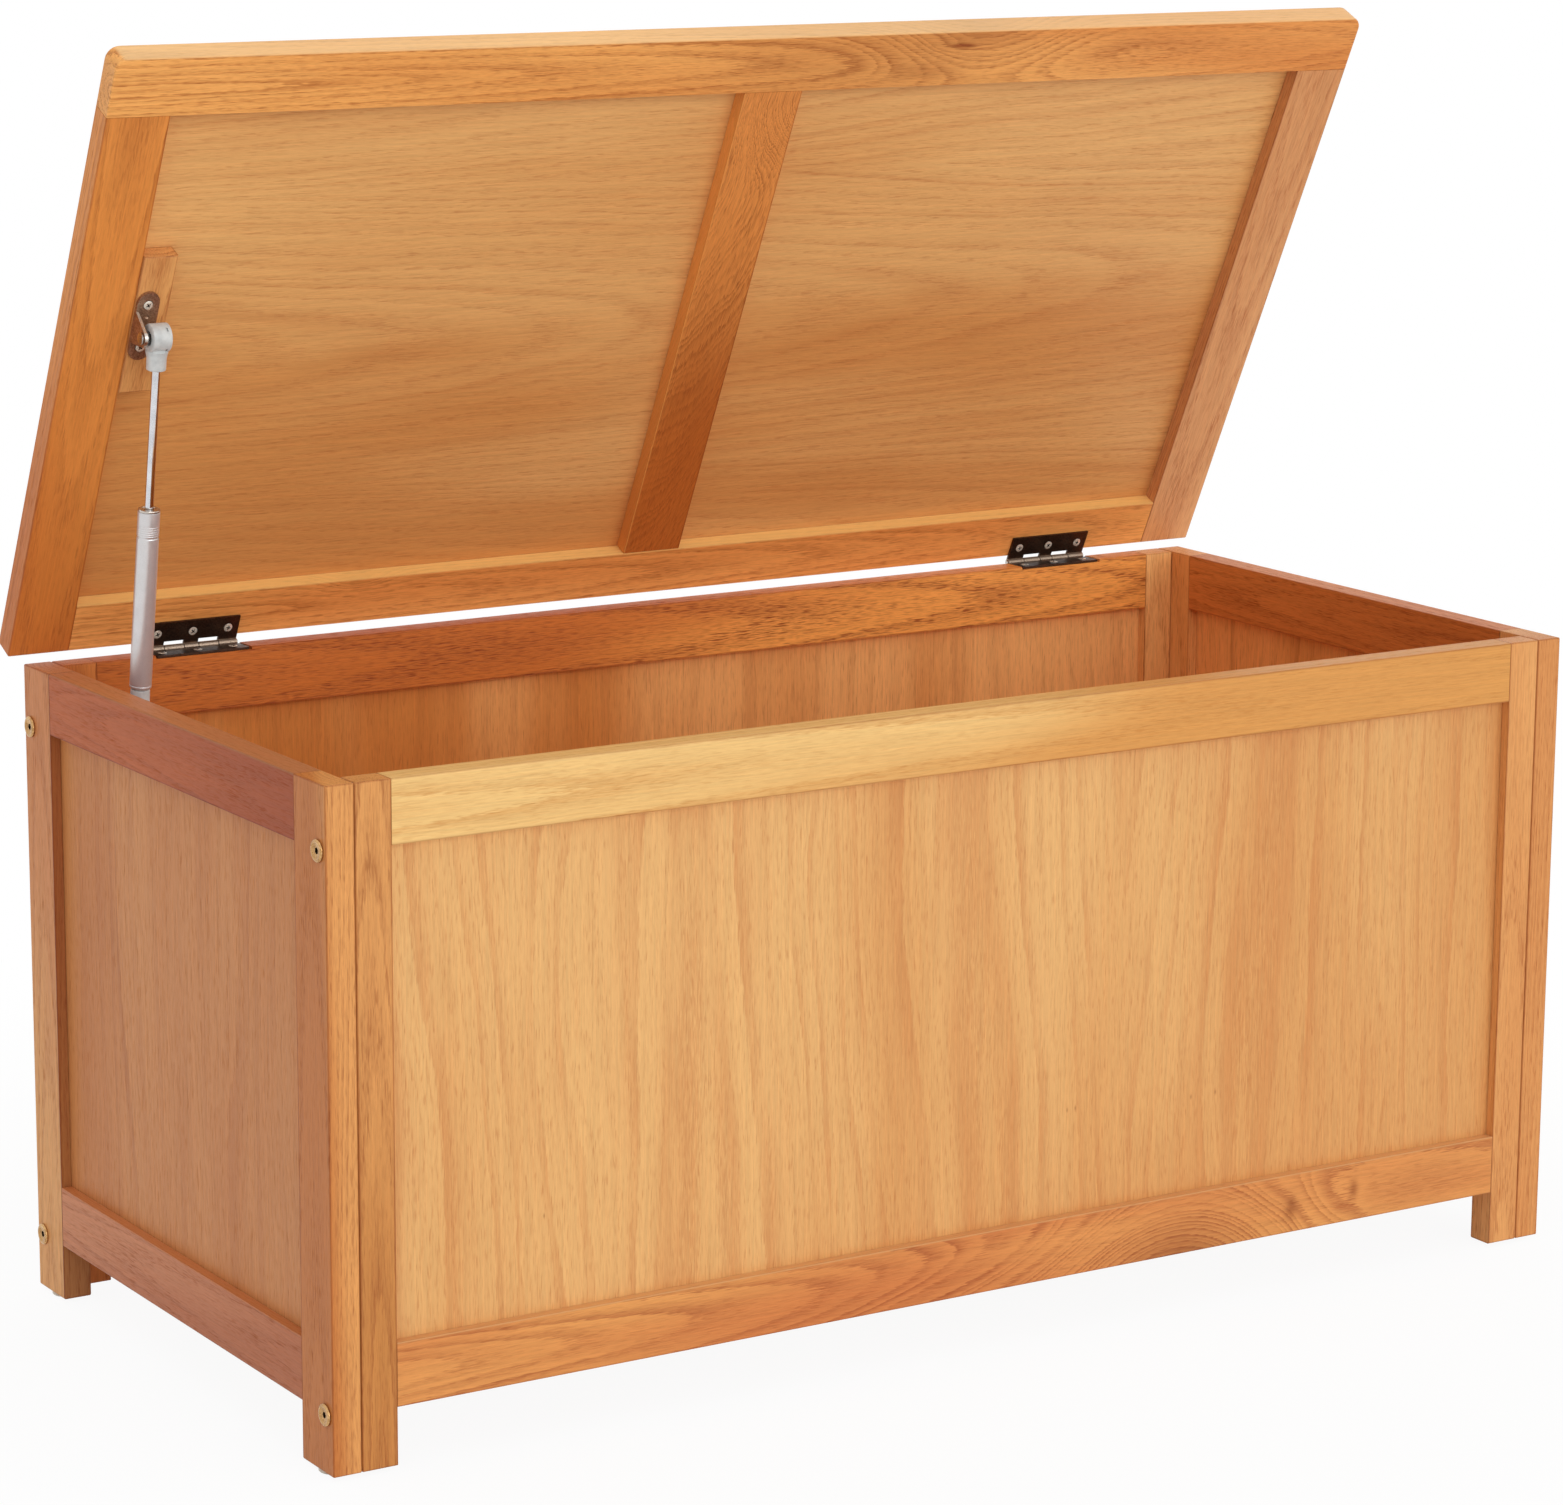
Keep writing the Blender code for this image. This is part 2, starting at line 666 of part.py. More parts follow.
def leaf_mesh(name, own, level):
    """One leaf about its pin, its plate from a height upward, with its own knuckles of the five."""
    plate = block((-HINGE_LENGTH / 2, -LEAF_WIDTH, level), (HINGE_LENGTH / 2, 0, level + LEAF))
    steps = []
    for i in range(5):
        if i not in own:
            low = marks[i] - (0.001 if i == 0 else 0)
            high = marks[i + 1] + (0.001 if i == 4 else 0)
            steps.append(("DIFFERENCE", block((low, -LEAF_SLOT, -0.01), (high, 0.01, 0.01))))
    for i in own:
        low = marks[i] + (0 if i == 0 else SEAM)
        high = marks[i + 1] - (0 if i == 4 else SEAM)
        barrel = rod(KNUCKLE_RADIUS, low, high, FINE)
        steps.append(("UNION", along_x(barrel)))
    steps.append(("DIFFERENCE", along_x(rod(PIN_RADIUS + SEAM, -HINGE_LENGTH, HINGE_LENGTH, COARSE))))
    return polish(made_from(name, plate, steps))


box_leaf = leaf_mesh("box_leaf", (1, 3), -BOX_LEAF_DROP - LEAF)
lid_leaf = leaf_mesh("lid_leaf", (0, 2, 4), lid_leaf_floor)
pin_end = HINGE_LENGTH / 2 + SEAM + PIN_HEAD
pin_mesh = polish(
    mesh_of(
        "hinge_pin",
        along_x(
            turned(
                [
                    (0, -pin_end),
                    (PIN_HEAD_RADIUS - 0.0004, -pin_end),
                    (PIN_HEAD_RADIUS, -pin_end + 0.0004),
                    (PIN_HEAD_RADIUS, -pin_end + PIN_HEAD),
                    (PIN_RADIUS, -pin_end + PIN_HEAD),
                    (PIN_RADIUS, pin_end - PIN_HEAD),
                    (PIN_HEAD_RADIUS, pin_end - PIN_HEAD),
                    (PIN_HEAD_RADIUS, pin_end - 0.0004),
                    (PIN_HEAD_RADIUS - 0.0004, pin_end),
                    (0, pin_end),
                ],
                COARSE,
            )
        ),
    )
)
mortises = bmesh.new()
for hand, tag in ((-1, "left"), (1, "right")):
    x = hand * (BODY_WIDTH / 2 - HINGE_INSET)
    put(f"hinge_{tag}_box_leaf", box_leaf, "bronzed steel", (x, PIN_Y, PIN_Z))
    put(f"hinge_{tag}_lid_leaf", lid_leaf, "bronzed steel", (x, 0, 0), parent=lid_axis)
    put(f"hinge_{tag}_pin", pin_mesh, "nickel", (x, PIN_Y, PIN_Z))
    add_block(
        mortises,
        (x - HINGE_LENGTH / 2 - MORTISE_PLAY, INNER_Y - STOCK, PIN_Z - BOX_LEAF_DROP - LEAF - SEAM),
        (x + HINGE_LENGTH / 2 + MORTISE_PLAY, PIN_Y + STOCK, PIN_Z + STOCK),
    )
shape(back["top_rail"], helper("hinge_mortise_cutter", mortises))

# The gas strut, drawn along -Z of its upper ball, which the lid carries
ball_depth = STRUT_LID_DROP - LID_GAP
lid_ball = Vector((STRUT_X, -STRUT_LID_REACH, -ball_depth))
upper = Vector((0, PIN_Y, PIN_Z)) + Matrix.Rotation(-OPEN, 3, "X") @ lid_ball
shut_upper = Vector((0, PIN_Y, PIN_Z)) + lid_ball
lower = Vector((STRUT_X, PIN_Y - STRUT_BOX_REACH, RIM_HEIGHT - STRUT_BOX_DROP))
open_length = (lower - upper).length
shut_length = (lower - shut_upper).length
lean = math.atan2(lower.y - upper.y, upper.z - lower.z)
shut_lean = math.atan2(lower.y - shut_upper.y, shut_upper.z - lower.z)
rod_axis = axis_at("strut_rod_axis", upper, (lean, 0, 0), body_seat)
tube_axis = axis_at("strut_tube_axis", lower, (lean, 0, 0), body_seat)

# A plastic socket: a drum across the strut with a snap-in ball seat, and a neck that takes the thread
mouth = rod(BALL_MOUTH, -HEAD_LENGTH, 0, COARSE)
ball_seat = bmesh.new()
bmesh.ops.create_uvsphere(ball_seat, u_segments=COARSE, v_segments=12, radius=BALL_RADIUS + SEAM)
socket_mesh = polish(
    made_from(
        "ball_socket",
        along_x(
            turned(
                [
                    (0, -HEAD_LENGTH / 2),
                    (HEAD_RADIUS - 0.0012, -HEAD_LENGTH / 2),
                    (HEAD_RADIUS - 0.0003, -HEAD_LENGTH / 2 + 0.0004),
                    (HEAD_RADIUS, -HEAD_LENGTH / 2 + 0.0012),
                    (HEAD_RADIUS, HEAD_LENGTH / 2 - 0.0022),
                    (HEAD_RADIUS - 0.0008, HEAD_LENGTH / 2 - 0.0007),
                    (HEAD_RADIUS - 0.0024, HEAD_LENGTH / 2),
                    (0, HEAD_LENGTH / 2),
                ],
                FINE,
            )
        ),
        [
            (
                "UNION",
                turned(
                    [
                        (0, -NECK_END),
                        (NECK_RADIUS - 0.0008, -NECK_END),
                        (NECK_RADIUS, -NECK_END + 0.0008),
                        (NECK_RADIUS + 0.0001, -NECK_END / 2),
                        (0, -NECK_END / 2),
                    ],
                    FINE,
                ),
            ),
            ("UNION", rod(NECK_RADIUS - 0.0006, -NECK_END / 2 - 0.001, 0, FINE)),
            ("DIFFERENCE", ball_seat),
            ("DIFFERENCE", along_x(mouth)),
            ("DIFFERENCE", rod(ROD_RADIUS + SEAM, -NECK_END - 0.001, -NECK_END + NECK_THREAD + SEAM, COARSE)),
        ],
    )
)
put("strut_upper_socket", socket_mesh, "grey plastic", parent=rod_axis)
put("strut_lower_socket", socket_mesh, "grey plastic", turn=(math.pi, 0, 0), parent=tube_axis)

# The tube, from the lower ball upward: thread, closed end, wall, and a rolled groove that holds the guide
tube_foot = NECK_END + SEAM
tube_top = NECK_END + TUBE_LENGTH
wall_top = tube_top - GUIDE_LIP - SEAM
bore = TUBE_RADIUS - TUBE_WALL
roll = tube_top - TUBE_ROLL
tube_mesh = polish(
    mesh_of(
        "strut_tube",
        turned(
            [
                (0, NECK_END - NECK_THREAD),
                (ROD_RADIUS, NECK_END - NECK_THREAD),
                (ROD_RADIUS, tube_foot),
                (TUBE_RADIUS - 0.001, tube_foot),
                (TUBE_RADIUS, tube_foot + 0.001),
                (TUBE_RADIUS, roll - 0.0009),
                (TUBE_RADIUS - TUBE_ROLL_DEPTH, roll),
                (TUBE_RADIUS, roll + 0.0009),
                (TUBE_RADIUS, wall_top),
                (bore, wall_top),
                (bore, tube_foot + TUBE_END + 0.0015),
                (bore - 0.0015, tube_foot + TUBE_END),
                (0, tube_foot + TUBE_END),
            ],
            FINE,
        ),
    )
)
put("strut_tube", tube_mesh, "steel tube", parent=tube_axis)
guide_foot = wall_top - GUIDE_LENGTH
guide_mesh = polish(
    mesh_of(
        "strut_guide",
        turned(
            [
                (ROD_RADIUS + SEAM, guide_foot),
                (bore - SEAM, guide_foot),
                (bore - SEAM, wall_top + SEAM),
                (TUBE_RADIUS, wall_top + SEAM),
                (TUBE_RADIUS, tube_top - 0.0006),
                (TUBE_RADIUS - 0.0006, tube_top),
                (ROD_RADIUS + SEAM, tube_top),
            ],
            FINE,
            closed=True,
        ),
    )
)
put("strut_guide", guide_mesh, "steel tube", parent=tube_axis)

# The rod and its piston, from the upper ball downward. Fully drawn out, the piston is up against the guide
piston_top = open_length - guide_foot + PISTON_REST_GAP
piston_foot = piston_top + PISTON
rod_mesh = polish(
    mesh_of(
        "strut_rod",
        turned(
            [
                (0, -NECK_END + NECK_THREAD),
                (ROD_RADIUS, -NECK_END + NECK_THREAD),
                (ROD_RADIUS, -piston_foot + 0.0005),
                (ROD_RADIUS - 0.0005, -piston_foot),
                (0, -piston_foot),
            ],
            FINE,
        ),
    )
)
put("strut_rod", rod_mesh, "nickel", parent=rod_axis)
piston_mesh = polish(
    mesh_of(
        "strut_piston",
        turned(
            [
                (ROD_RADIUS + SEAM, -piston_foot),
                (bore - SEAM - 0.0006, -piston_foot),
                (bore - SEAM, -piston_foot + 0.0006),
                (bore - SEAM, -piston_top - PISTON / 2 - 0.0008),
                (bore - SEAM - 0.0012, -piston_top - PISTON / 2 - 0.0004),
                (bore - SEAM - 0.0012, -piston_top - PISTON / 2 + 0.0004),
                (bore - SEAM, -piston_top - PISTON / 2 + 0.0008),
                (bore - SEAM, -piston_top - 0.0006),
                (bore - SEAM - 0.0006, -piston_top),
                (ROD_RADIUS + SEAM, -piston_top),
            ],
            FINE,
            closed=True,
        ),
    )
)
put("strut_piston", piston_mesh, "steel tube", parent=rod_axis)

# The lid's bracket: a plate on the block with an ear bent out of its edge, which holds the upper ball stud
ear_outer = STRUT_X - HEAD_LENGTH / 2 - EAR_TO_HEAD - BRACKET


def plate_outline(length, width, steps=8):
    """A strip with round ends, along X."""
    half = (length - width) / 2
    points = []
    for end, start in ((1, -quarter), (-1, quarter)):
        for i in range(steps + 1):
            angle = start + math.pi * i / steps
            points.append((end * half + width / 2 * math.cos(angle), width / 2 * math.sin(angle)))
    return points


def ear_outline(reach, steps=8):
    """A tab from its root on the X axis to a round tip, reach away along Y."""
    root = EAR_ROOT / 2
    spread = math.hypot(root, reach)
    tilt = math.atan2(reach, root) - math.acos(EAR_TIP_RADIUS / spread)
    points = [(-root, -BRACKET / 2), (root, -BRACKET / 2), (root, 0)]
    for i in range(steps + 1):
        angle = -tilt + (math.pi + 2 * tilt) * i / steps
        points.append((EAR_TIP_RADIUS * math.cos(angle), reach + EAR_TIP_RADIUS * math.sin(angle)))
    points.append((-root, 0))
    return points


plate_low = block_face - SEAM - BRACKET
plate = outline(plate_outline(BRACKET_LENGTH, BRACKET_WIDTH), BRACKET)
bmesh.ops.transform(
    plate,
    matrix=Matrix.Translation((ear_outer + BRACKET_WIDTH / 2, -STRUT_LID_REACH, plate_low))
    @ Matrix.Rotation(quarter, 4, "Z"),
    verts=plate.verts,
)
ear = outline(ear_outline(plate_low + BRACKET / 2 + ball_depth), BRACKET)
bmesh.ops.transform(
    ear,
    matrix=Matrix.Translation((ear_outer, -STRUT_LID_REACH, plate_low + BRACKET / 2))
    @ Matrix(((0, 0, 1, 0), (1, 0, 0, 0), (0, -1, 0, 0), (0, 0, 0, 1))),
    verts=ear.verts,
)
rivet_hole = along_x(rod(STUD_RADIUS + SEAM, ear_outer - BRACKET, ear_outer + 2 * BRACKET, COARSE))
bmesh.ops.translate(rivet_hole, vec=(0, -STRUT_LID_REACH, -ball_depth), verts=rivet_hole.verts)
bracket_mesh = made_from("strut_lid_bracket", plate, [("UNION", ear), ("DIFFERENCE", rivet_hole)])
put("strut_lid_bracket", polish(bracket_mesh), "bronzed steel", parent=lid_axis)


def ball_profile(steps=8):
    """The ball about the origin, from where the stud meets it to its far pole."""
    start = math.acos(STUD_RADIUS / BALL_RADIUS)
    points = []
    for i in range(steps + 1):
        angle = -start + (start + quarter) * i / steps
        points.append((BALL_RADIUS * math.cos(angle), BALL_RADIUS * math.sin(angle)))
    points[-1] = (0, BALL_RADIUS)
    return points


ear_near = ear_outer + BRACKET - STRUT_X
upper_stud = turned(
    [
        (0, ear_near - BRACKET - SEAM - STUD_BASE),
        (STUD_BASE_RADIUS - 0.0008, ear_near - BRACKET - SEAM - STUD_BASE),
        (STUD_BASE_RADIUS, ear_near - BRACKET - SEAM - STUD_BASE / 2),
        (STUD_BASE_RADIUS, ear_near - BRACKET - SEAM),
        (STUD_RADIUS, ear_near - BRACKET - SEAM),
        (STUD_RADIUS, ear_near + SEAM),
        (STUD_BASE_RADIUS, ear_near + SEAM),
        (STUD_BASE_RADIUS, ear_near + SEAM + STUD_BASE),
        (STUD_RADIUS, ear_near + SEAM + STUD_BASE),
        *ball_profile(),
    ],
    COARSE,
)
upper_stud_mesh = polish(mesh_of("strut_upper_stud", along_x(upper_stud)))
put("strut_upper_stud", upper_stud_mesh, "nickel", lid_ball, parent=lid_axis)

# The body's bracket lies flat on the inside of the left top rail, and the lower stud stands off it
plate = outline(plate_outline(BRACKET_LENGTH, BRACKET_WIDTH), BRACKET)
bmesh.ops.transform(
    plate,
    matrix=Matrix(((0, 0, 1, 0), (1, 0, 0, 0), (0, 1, 0, 0), (0, 0, 0, 1))),
    verts=plate.verts,
)
put(
    "strut_box_bracket",
    polish(mesh_of("strut_box_bracket", plate)),
    "bronzed steel",
    (-INNER_X + SEAM, lower.y, lower.z),
)
plate_near = -INNER_X + SEAM + BRACKET - STRUT_X
lower_stud = turned(
    [
        (0, plate_near + SEAM),
        (STUD_BASE_RADIUS, plate_near + SEAM),
        (STUD_BASE_RADIUS, plate_near + SEAM + STUD_BASE),
        (STUD_RADIUS, plate_near + SEAM + STUD_BASE),
        *ball_profile(),
    ],
    COARSE,
)
put("strut_lower_stud", polish(mesh_of("strut_lower_stud", along_x(lower_stud))), "nickel", parent=tube_axis)

bpy.context.view_layer.update()
shift = body_seat.location
print("lid opens", LID_OPEN, "degrees about", [round(v, 6) for v in lid_axis.matrix_world.translation])
print("strut upper ball", [round(v, 6) for v in upper + shift])
print("strut lower ball", [round(v, 6) for v in lower + shift])
print("strut length open", round(open_length, 5), "shut", round(shut_length, 5))
slide_way = (upper - lower).normalized()
print("strut slides", round(open_length - shut_length, 7), "along", [round(v, 7) for v in slide_way])
print("strut swings on the lid", round(math.degrees(shut_lean - lean) - LID_OPEN, 6), "degrees")
print("rod still out when the lid is shut", round(shut_length - NECK_END - tube_top, 5))
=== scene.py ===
# %% [markdown]
# # An oak storage box with its lid up
#
# This lesson dresses a storage box that is already modelled as solid parts: four
# frame-and-panel sides on short legs, and a framed lid that two butt hinges carry and
# one gas strut holds open. The solids come in as a fixed frame. What is left to do is
# what makes them look like the real thing: oak with its pores, rings and knots, bronzed
# hinges with their screws, the strut's turned parts, and a camera and light that show them.

import json
import math
from functools import partial, reduce

import bmesh
import bpy
from mathutils import Matrix, Vector


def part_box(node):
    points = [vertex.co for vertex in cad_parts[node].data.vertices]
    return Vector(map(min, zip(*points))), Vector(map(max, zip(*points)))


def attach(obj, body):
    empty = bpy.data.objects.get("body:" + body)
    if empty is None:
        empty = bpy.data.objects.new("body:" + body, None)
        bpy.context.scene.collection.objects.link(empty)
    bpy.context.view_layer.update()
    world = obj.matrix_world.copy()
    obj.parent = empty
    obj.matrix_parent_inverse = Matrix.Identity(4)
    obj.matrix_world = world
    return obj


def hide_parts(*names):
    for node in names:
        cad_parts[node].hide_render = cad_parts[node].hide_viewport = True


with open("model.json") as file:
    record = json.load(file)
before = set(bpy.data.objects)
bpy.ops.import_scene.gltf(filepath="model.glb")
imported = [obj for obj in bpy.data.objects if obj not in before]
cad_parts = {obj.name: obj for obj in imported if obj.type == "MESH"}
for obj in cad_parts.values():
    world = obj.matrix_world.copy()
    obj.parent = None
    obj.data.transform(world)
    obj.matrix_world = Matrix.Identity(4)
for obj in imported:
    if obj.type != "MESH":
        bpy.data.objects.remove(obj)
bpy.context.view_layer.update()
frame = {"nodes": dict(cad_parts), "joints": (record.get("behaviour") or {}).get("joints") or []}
nodes = frame["nodes"]
joints = {joint["name"]: joint for joint in frame["joints"]}

# %% [markdown]
# ## Where things are
#
# Every joint of the frame says where its axis is, so the lid's own space and the strut's
# own space can be worked out instead of typed. In lid space the pin is the origin, X runs
# along it, Y points back and Z is up once the lid is shut. A texture or a screw that is
# laid out there is right at any angle of the lid. A space is a matrix: a turn, then a shift.

# %% Spaces of the lid and the strut
shift = Matrix.Translation


def turned(degrees, axis):
    """A turn about an axis."""
    return Matrix.Rotation(math.radians(degrees), 4, axis)


lid_open = joints["lid_hinge"]["range_deg"][1]
lid_pin = Vector(joints["lid_hinge"]["pos_m"])
lid_space = shift(lid_pin) @ turned(-lid_open, "X")
upper_ball = Vector(joints["strut_swing"]["pos_m"])
strut_up = Vector(joints["strut_stroke"]["axis"]).normalized()
strut_lean = math.degrees(math.atan2(-strut_up.y, strut_up.z))
strut_space = shift(upper_ball) @ turned(strut_lean, "X")
world_space = Matrix.Identity(4)
print("lid up", round(lid_open, 2), "degrees, strut leans", round(strut_lean, 2))

# %% [markdown]
# ## Small helpers for node trees
#
# A procedural material is a sum in pictures: noise is stretched, bent, cut off and mixed.
# It could be wired by hand in the shader editor, but a long sum is easier to read and to
# change as text. A few short functions keep it so. One adds any node to a tree. Each of
# the others does one step, and finds its tree from the sockets that it is given.

# %% Helpers that add nodes
def fill(node, inputs):
    """Sets a node's inputs from plain values, or links them to the outputs of other nodes."""
    for key, value in inputs.items():
        if isinstance(value, bpy.types.NodeSocket):
            node.id_data.links.new(value, node.inputs[key])
        else:
            node.inputs[key].default_value = value


def add(tree, kind, inputs=None, **settings):
    """Adds a node with its settings and inputs."""
    made = tree.nodes.new(kind)
    for key, value in settings.items():
        setattr(made, key, value)
    fill(made, inputs or {})
    return made


def tree_of(values):
    """The tree that the first socket among some values belongs to."""
    return next(value.id_data for value in values if isinstance(value, bpy.types.NodeSocket))


def calc(operation, *values):
    """One arithmetic step on numbers or sockets."""
    return add(tree_of(values), "ShaderNodeMath", dict(enumerate(values)), operation=operation).outputs[0]


def plus(*terms):
    """A sum of two or more terms."""
    return reduce(partial(calc, "ADD"), terms)


def times(*terms):
    """A product of two or more terms."""
    return reduce(partial(calc, "MULTIPLY"), terms)


def minus(first, second):
    """A difference."""
    return calc("SUBTRACT", first, second)


def vector_calc(operation, *values):
    """One step on vectors. A length and a dot product are numbers, and the rest are vectors."""
    made = add(tree_of(values), "ShaderNodeVectorMath", dict(enumerate(values)), operation=operation)
    return made.outputs["Value" if operation in ("LENGTH", "DOT_PRODUCT") else "Vector"]


def split(vector):
    """The three parts of a vector."""
    return add(vector.id_data, "ShaderNodeSeparateXYZ", {0: vector}).outputs


# %% Helpers for ranges, colours and noise
NOISE_MIDDLE = 0.5


def soft_range(value, low, high, start=0.0, end=1.0):
    """Maps low..high onto start..end with soft ends."""
    inputs = {"Value": value, "From Min": low, "From Max": high, "To Min": start, "To Max": end}
    return add(value.id_data, "ShaderNodeMapRange", inputs, interpolation_type="SMOOTHSTEP").outputs[0]


def blend_colour(factor, first, second, mode="MIX"):
    """Mixes two colours. The Mix node's colour sockets are its seventh and eighth input."""
    tree = tree_of((factor, first, second))
    inputs = {0: factor, 6: first, 7: second}
    return add(tree, "ShaderNodeMix", inputs, data_type="RGBA", blend_type=mode).outputs[2]


def darkened(colour, filter_colour):
    """A colour seen through a filter."""
    return blend_colour(1.0, colour, (*filter_colour, 1.0), "MULTIPLY")


def stretched_noise(place, along, across, detail=2.0, roughness=0.5):
    """Noise drawn out along the grain: along and across are its cells in a metre."""
    scaled = vector_calc("MULTIPLY", place, (along, across, across))
    inputs = {"Vector": scaled, "Scale": 1.0, "Detail": detail, "Roughness": roughness}
    return add(place.id_data, "ShaderNodeTexNoise", inputs).outputs["Fac"]


def tone(text):
    """A colour from its six hex digits, as light values."""
    shares = [int(text[i : i + 2], 16) / 255 for i in (0, 2, 4)]
    return (*[s / 12.92 if s <= 0.04045 else ((s + 0.055) / 1.055) ** 2.4 for s in shares], 1.0)


print("a honey tone:", [round(v, 3) for v in tone("E2AF6B")])

# %% [markdown]
# ## How oak looks, and how to build it
#
# Oak is ring porous. Each year it lays down a band of wide open vessels and then a band
# of dense wood. Cut along the trunk, a band of vessels shows as short dark dashes in
# rows, and the rows draw the figure: straight lines on a rift-cut board, and arches,
# which joiners call cathedrals, on a flat-cut one.
#
# A photograph of wood wrapped round each board would be the quick way, but it shows the
# same board again and again, and its figure stops at every edge. Arches could also be
# painted by a wave texture. The group below does neither. It cuts a board out of a trunk,
# so face and end grain belong together. The trunk's centre line runs at some depth under
# the board and a little aslant to it, the distance to that line counts the rings, and a
# slow noise bends them. A sheet of veneer is made of leaves laid side by side, so the
# same group can step from one leaf to the next.

# %% Making a node group
POINT = (0.0, 0.0, 0.0)
BLACK = (0.0, 0.0, 0.0, 1.0)
KINDS = {0: "NodeSocketFloat", 3: "NodeSocketVector", 4: "NodeSocketColor"}


def new_group(name, inputs, outputs):
    """A node group. A socket's kind follows from its value: a number, a point or a colour."""
    group = bpy.data.node_groups.new(name, "ShaderNodeTree")
    for in_out, sockets in (("INPUT", inputs), ("OUTPUT", outputs)):
        for socket_name, value in sockets.items():
            kind = KINDS[len(value) if isinstance(value, tuple) else 0]
            made = group.interface.new_socket(name=socket_name, in_out=in_out, socket_type=kind)
            made.default_value = value
    return group


# %% The oak group: sockets
# The pale default tone for one face of a board is a painted sheen.
oak_group = new_group(
    "oak board",
    {
        "Place": POINT, "Seed": 0.0, "Heart Side": 0.0, "Heart Depth": 0.06, "Slant": 0.04,
        "Ring Width": 0.004, "Wander": 0.01, "Fine Rings": 1.0, "Fray": 0.5, "Fade": POINT, "Leaf": 20.0,
        "Square Place": POINT, "Half": POINT, "Edge Dark": 0.6, "Side Share": 0.0,
        "Side Tone": tone("FFDA9E"), "Swell": 0.0, "Stain": 0.0, "Line Strength": 0.5,
        "Line Sharpness": 2.0, "Thin Lines": 0.22, "Pore Strength": 0.5,
        "Pale": BLACK, "Deep": BLACK, "Line": BLACK,
    },
    {"Colour": BLACK, "Roughness": 0.0, "Height": 0.0},
)
given = add(oak_group, "NodeGroupInput").outputs
handed_on = add(oak_group, "NodeGroupOutput")

# %% [markdown]
# The first step moves each leaf of veneer to its own stretch of the trunk. A solid board
# is one leaf that is wider than any board, so the same step only gives it a place of its
# own. The bend is two noises, a slow one and a weaker quick one.

# %% The oak group: leaves and bends
LEAF_STEP = 3.71
SHIFT_ALONG = 7.0
SHIFT_DEEP = 5.0
parts = split(given["Place"])
leaf_number = calc("FLOOR", plus(calc("DIVIDE", parts[1], given["Leaf"]), 0.5))
leaf_seed = plus(times(leaf_number, LEAF_STEP), given["Seed"])
chance = add(oak_group, "ShaderNodeTexWhiteNoise", {"W": leaf_seed}, noise_dimensions="1D")
draws = add(oak_group, "ShaderNodeSeparateColor", {0: chance.outputs["Color"]}).outputs
along = plus(parts[0], times(draws[0], SHIFT_ALONG))
across = minus(parts[1], times(leaf_number, given["Leaf"]))
depth = plus(parts[2], times(draws[1], SHIFT_DEEP))
place = add(oak_group, "ShaderNodeCombineXYZ", {0: along, 1: across, 2: depth}).outputs[0]
slow = minus(stretched_noise(place, 1.7, 7.0, 1.5), NOISE_MIDDLE)
quick = minus(stretched_noise(place, 9.0, 42.0, 2.0), NOISE_MIDDLE)
bend = times(given["Wander"], plus(times(slow, 3.2), times(quick, 0.32)))

# %% [markdown]
# Rings are counted from the trunk's centre line. Lean and fat years come from a noise
# along the count, and a fine noise frays each ring, so its line breaks up as pores do.
# Every ring also draws its own strength: some rows stand out and some hardly show.

# %% The oak group: rings
LEAN_CELLS = 0.31
LEAN_REACH = 2.4
EARLY_SHARPNESS = 1.6
side = minus(plus(across, bend), given["Heart Side"])
slanted = times(plus(parts[0], bend), given["Slant"])
deep = plus(parts[2], given["Heart Depth"], slanted)
from_heart = plus(calc("SQRT", plus(times(side, side), times(deep, deep))), given["Swell"])
years = calc("DIVIDE", from_heart, given["Ring Width"])
lean_inputs = {"W": plus(times(years, LEAN_CELLS), given["Seed"]), "Scale": 1.0, "Detail": 1.0}
lean_years = add(oak_group, "ShaderNodeTexNoise", lean_inputs, noise_dimensions="1D").outputs["Fac"]
frayed = minus(stretched_noise(place, 80.0, 1000.0, 1.0, 0.6), NOISE_MIDDLE)
uneven_years = plus(years, times(lean_years, LEAN_REACH), times(frayed, given["Fray"]))


def ring_band(count, sharpness):
    """A band that starts at once with each ring and dies away."""
    season = calc("FRACT", count)
    opening = soft_range(season, 0.0, 0.16)
    closing = calc("POWER", minus(1.0, season), sharpness)
    return times(opening, closing)


ring_seed = plus(calc("FLOOR", uneven_years), given["Seed"])
ring_chance = add(oak_group, "ShaderNodeTexWhiteNoise", {"W": ring_seed}, noise_dimensions="1D")
ring_power = plus(times(ring_chance.outputs["Value"], 0.75), 0.25)
row = times(ring_band(uneven_years, given["Line Sharpness"]), ring_power)
early = ring_band(times(uneven_years, given["Fine Rings"]), EARLY_SHARPNESS)

# %% [markdown]
# Vessels come in two sizes, short flecks and longer dashes, and both are strongest where
# a ring begins. Fibres are a faint, much longer streak. The ground drifts from a pale
# tone to a deep one with a slow cloud, and Fade tilts that drift, so a board can be
# deeper at one end. Over the ground lie the rows with their thin lines, then the pores.

